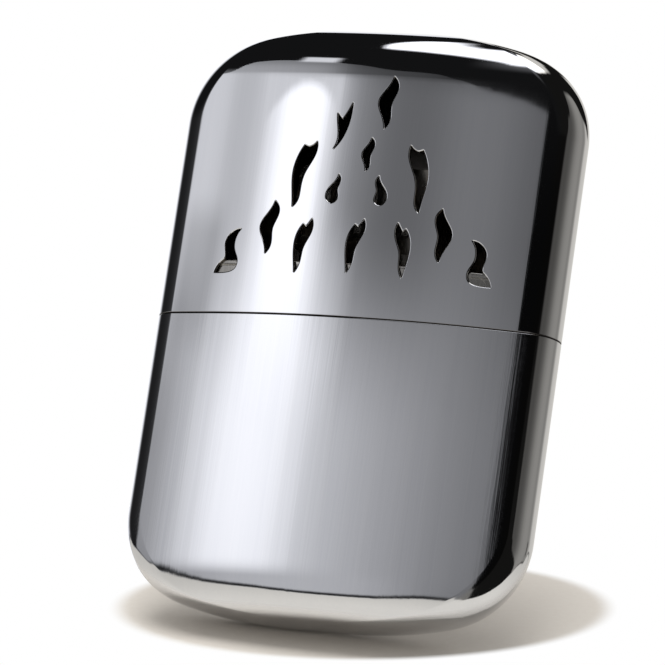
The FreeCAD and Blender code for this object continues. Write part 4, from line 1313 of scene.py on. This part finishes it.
# %% The grey card
LOW_TO_MIDDLE, MIDDLE_TO_HIGH, HIGH_TO_BROW = (-2.0, 11.0), (10.5, 15.0), (17.3, 18.5)
WIDER_GLOW, WIDER_BY = ((-25.0, 1.5, 4.6), (13.0, 0.6, 1.8)), 0.13
LEFT_SHADE, SHADE_BY = ((-48.0, 1.5, 4.0), (13.4, 0.7, 1.0)), -0.15
DOME_MIDDLE, DOME_BEND, DOME_TOP, DOME_EDGE, OVER_DOME = -32.0, -0.015, 17.33, 0.14, 0.58
BROW_FADE = (18.5, 24.0, 1.0, 0.65)               # height from and to, lightness from and to
CARD_SOFT = 0.2


def grey_card(tree, place_in):
    """Lightness of the card. The glow ends at height = top + bend (azimuth - middle)^2."""
    azimuth, height = place_in
    card = blend(tree, ease(tree, height, *LOW_TO_MIDDLE), drawn(tree, azimuth, CARD_LOW),
                 drawn(tree, azimuth, CARD_MIDDLE))
    card = blend(tree, ease(tree, height, *MIDDLE_TO_HIGH), card, drawn(tree, azimuth, CARD_HIGH))
    card = math_node(tree, "MULTIPLY_ADD", spot(tree, place_in, *WIDER_GLOW), WIDER_BY, card)
    card = math_node(tree, "MULTIPLY_ADD", spot(tree, place_in, *LEFT_SHADE), SHADE_BY, card)
    beside = math_node(tree, "SUBTRACT", azimuth, DOME_MIDDLE)
    dome = math_node(tree, "MULTIPLY_ADD", times(tree, beside, beside), DOME_BEND, DOME_TOP)
    over_dome = ease(tree, math_node(tree, "SUBTRACT", height, dome), -DOME_EDGE, DOME_EDGE)
    card = blend(tree, over_dome, card, math_node(tree, "MINIMUM", card, OVER_DOME))
    brow = times(tree, drawn(tree, azimuth, CARD_BROW), ease(tree, height, *BROW_FADE))
    return blend(tree, ease(tree, height, *HIGH_TO_BROW), card, brow)


def on_grey_card(tree, place_in):
    """1 on the card and on the skirt that hangs from it over the cloth, 0 beside them."""
    middle, half = (CARD_LEFT + CARD_RIGHT) / 2, (CARD_RIGHT - CARD_LEFT) / 2
    on_card = times(tree, near(tree, place_in[0], middle, half - CARD_SOFT, 2 * CARD_SOFT),
                    without(tree, above(tree, place_in, CARD_TOP, soft=0.04)))
    return math_node(tree, "MAXIMUM", on_card, without(tree, above(tree, place_in, SKIRT_TOP, soft=1.0)))


print(f"grey card: {CARD_RIGHT - CARD_LEFT:.1f} degrees wide")

# %% [markdown]
# Round the grey card come the rest: flags first, then what is lighter laid over them, and the
# pale cloth last, with the dark line of its seam over it. The cloth is warm and the card is cool,
# as white fabric and grey board are.

# %% Material: the light tent
BEHIND, BACK_FOOT = (144.0, 149.0), (6.0, 10.0)
DARK_FOLD, FOLD_LIGHT = ((126.5, 1.2, 1.4), (3.0, 4.0, 2.0)), 0.05
BRIGHT_EDGE, EDGE_LIGHT = ((-32.5, 2.2, 2.2), (25.6, 1.2, 1.6)), 0.62
COOL, WARM = (0.94, 0.95, 1.0), (1.0, 0.97, 0.91)
IN_FRONT, LEFT_HALF, SEAM_PART = (0.0, 70.0, 30.0), (-65.0, 75.0, 30.0), (-22.0, 24.0, 8.0)
UNDER_CEILING, CEILING_SPILL = (6.0, 0.0, 14.0), (24.0, 33.0, 0.0, 0.12)
THIN_SEAM, WIDE_SEAM = (0.8, 2.0, 0.2, 1.0), (2.6, 6.2, 0.03, 1.0)


def tent_place(tree):
    """Azimuth and elevation in degrees: atan2(x, -y), and atan2(z, distance from the axis)."""
    x, y, z = node(tree, "ShaderNodeSeparateXYZ", {0: object_place(tree)}).outputs
    azimuth = math_node(tree, "ARCTAN2", x, math_node(tree, "MULTIPLY", y, -1.0))
    square = math_node(tree, "MULTIPLY_ADD", x, x, math_node(tree, "MULTIPLY", y, y))
    height = math_node(tree, "ARCTAN2", z, math_node(tree, "SQRT", square))
    return math_node(tree, "DEGREES", azimuth), math_node(tree, "DEGREES", height)


def tent_light(tree, place_in):
    """Lightness of all that lies over the cloth's edge."""
    azimuth, height = place_in
    behind = ease(tree, math_node(tree, "ABSOLUTE", azimuth), *BEHIND)
    low_behind = times(tree, behind, ease(tree, height, *BACK_FOOT, 1.0, 0.0))
    light = blend(tree, low_behind, FLAG, BACK_FLAG)
    in_sides = times(tree, above(tree, place_in, SIDE_FOOT, soft=1.0),
                     without(tree, above(tree, place_in, SIDE_TOP, soft=2.5)))
    light = blend(tree, in_sides, light, drawn(tree, azimuth, SIDES))
    light = blend(tree, spot(tree, place_in, *DARK_FOLD), light, FOLD_LIGHT)
    spill = times(tree, near(tree, azimuth, *UNDER_CEILING), ease(tree, height, *CEILING_SPILL))
    light = math_node(tree, "ADD", light, spill)
    on_ceiling = times(tree, above(tree, place_in, CEILING_EDGE, soft=2.0),
                       without(tree, above(tree, place_in, CEILING_TOP, soft=3.0)))
    ceiling = blend(tree, near(tree, azimuth, *IN_FRONT), CEILING_BACK, CEILING_FRONT)
    light = blend(tree, on_ceiling, light, ceiling)
    light = blend(tree, on_grey_card(tree, place_in), light, grey_card(tree, place_in))
    return blend(tree, spot(tree, place_in, *BRIGHT_EDGE), light, EDGE_LIGHT)


def tent_material():
    """Light from the tent = lightness / the metal's own shine, so that the metal shows it."""
    material, tree, _ = new_material("light_tent")
    place_in = azimuth, height = tent_place(tree)
    over_cloth = math_node(tree, "SUBTRACT", height, drawn(tree, azimuth, CLOTH_EDGE))
    seam = blend(tree, near(tree, azimuth, *SEAM_PART), ease(tree, over_cloth, *THIN_SEAM),
                 ease(tree, over_cloth, *WIDE_SEAM))
    light = times(tree, tent_light(tree, place_in), seam)
    on_cloth = ease(tree, over_cloth, -0.9, 0.9, 1.0, 0.0)
    light = blend(tree, on_cloth, light, ease(tree, height, -45.0, 0.0, CLOTH_LOW, CLOTH_HIGH))
    warm = math_node(tree, "MAXIMUM", on_cloth, without(tree, near(tree, azimuth, *LEFT_HALF)))
    glow = node(tree, "ShaderNodeEmission", {"Color": mixed(tree, warm, COOL, WARM),
                                             "Strength": math_node(tree, "DIVIDE", light, CHROME_SHINE)})
    tree.links.new(glow.outputs[0], tree.nodes["Material Output"].inputs["Surface"])
    return material


light_tent = tent_material()
print("nodes that draw the tent:", len(light_tent.node_tree.nodes))

# %% [markdown]
# The tent itself is a plain sphere round the case. Its rays are switched off for all but glossy
# ones, so it neither lights the floor nor shows behind the case.

# %% The tent
TENT_RADIUS = 1.0


def sphere(name, radius, rings, segments):
    """A sphere of latitude v and longitude u: radius (cos v cos u, cos v sin u, sin v)."""
    v = np.linspace(-np.pi / 2, np.pi / 2, rings)
    u = np.linspace(0, 2 * np.pi, segments, endpoint=False)
    v, u = np.meshgrid(v, u, indexing="ij")
    points = np.stack([np.cos(v) * np.cos(u), np.cos(v) * np.sin(u), np.sin(v)], -1) * radius / MM
    points[0], points[-1] = points[0].mean(0), points[-1].mean(0)
    return make_mesh(name, closed_grid(points), smooth_normals=False)


tent = bpy.data.objects.new("light_tent", sphere("light_tent", TENT_RADIUS, 33, 64))
tent.location = (0, 0, HEIGHT / 2 * MM)
bpy.context.scene.collection.objects.link(tent)
tent.data.materials.append(light_tent)
for kind in ("camera", "diffuse", "transmission", "volume_scatter", "shadow"):
    setattr(tent, f"visible_{kind}", False)
print("tent of", len(tent.data.polygons), "faces")

# %% [markdown]
# The light is plain: one large soft lamp over the floor, whose shadow lies under the case, and
# a white world. The world is dimmer for the rays that light things than for those that look at
# it, so the background is white and the shadow stays. Reflections don't see the lamp, because
# the tent takes its place.

# %% Lamp and world
LAMP_DISTANCE, LAMP_SIZE, LAMP_POWER = 0.9, 0.7, 7.0
WORLD_LIGHT = 0.6


def area_lamp(name, direction, distance, size, power):
    """A square lamp that shines at the case's foot from a direction."""
    data = bpy.data.lights.new(name, "AREA")
    data.size, data.energy = size, power
    lamp = bpy.data.objects.new(name, data)
    lamp.matrix_world = (Matrix.Translation(support + direction * distance)
                         @ direction.to_track_quat("Z", "Y").to_matrix().to_4x4())
    bpy.context.scene.collection.objects.link(lamp)
    lamp.visible_glossy = False
    return lamp


overhead = (floor_normal - 0.08 * across - 0.12 * back).normalized()
lamp = area_lamp("soft_lamp", overhead, LAMP_DISTANCE, LAMP_SIZE, LAMP_POWER)
world = bpy.data.worlds.new("white")
bpy.context.scene.world = world
world.use_nodes = True
tree = world.node_tree
surround = tree.nodes["Background"]
path = node(tree, "ShaderNodeLightPath")
seen = math_node(tree, "ADD", path.outputs["Is Camera Ray"], path.outputs["Is Glossy Ray"])
seen = math_node(tree, "ADD", seen, path.outputs["Is Transmission Ray"], clamp=True)
strength = math_node(tree, "MULTIPLY_ADD", seen, 1.0 - WORLD_LIGHT, WORLD_LIGHT)
tree.links.new(strength, surround.inputs["Strength"])
surround.inputs["Color"].default_value = (1, 1, 1, 1)
bpy.context.scene.view_settings.view_transform = "Standard"
print(f"{lamp.name}: {lamp.data.energy:.0f} W, {lamp.data.size:.1f} m wide")
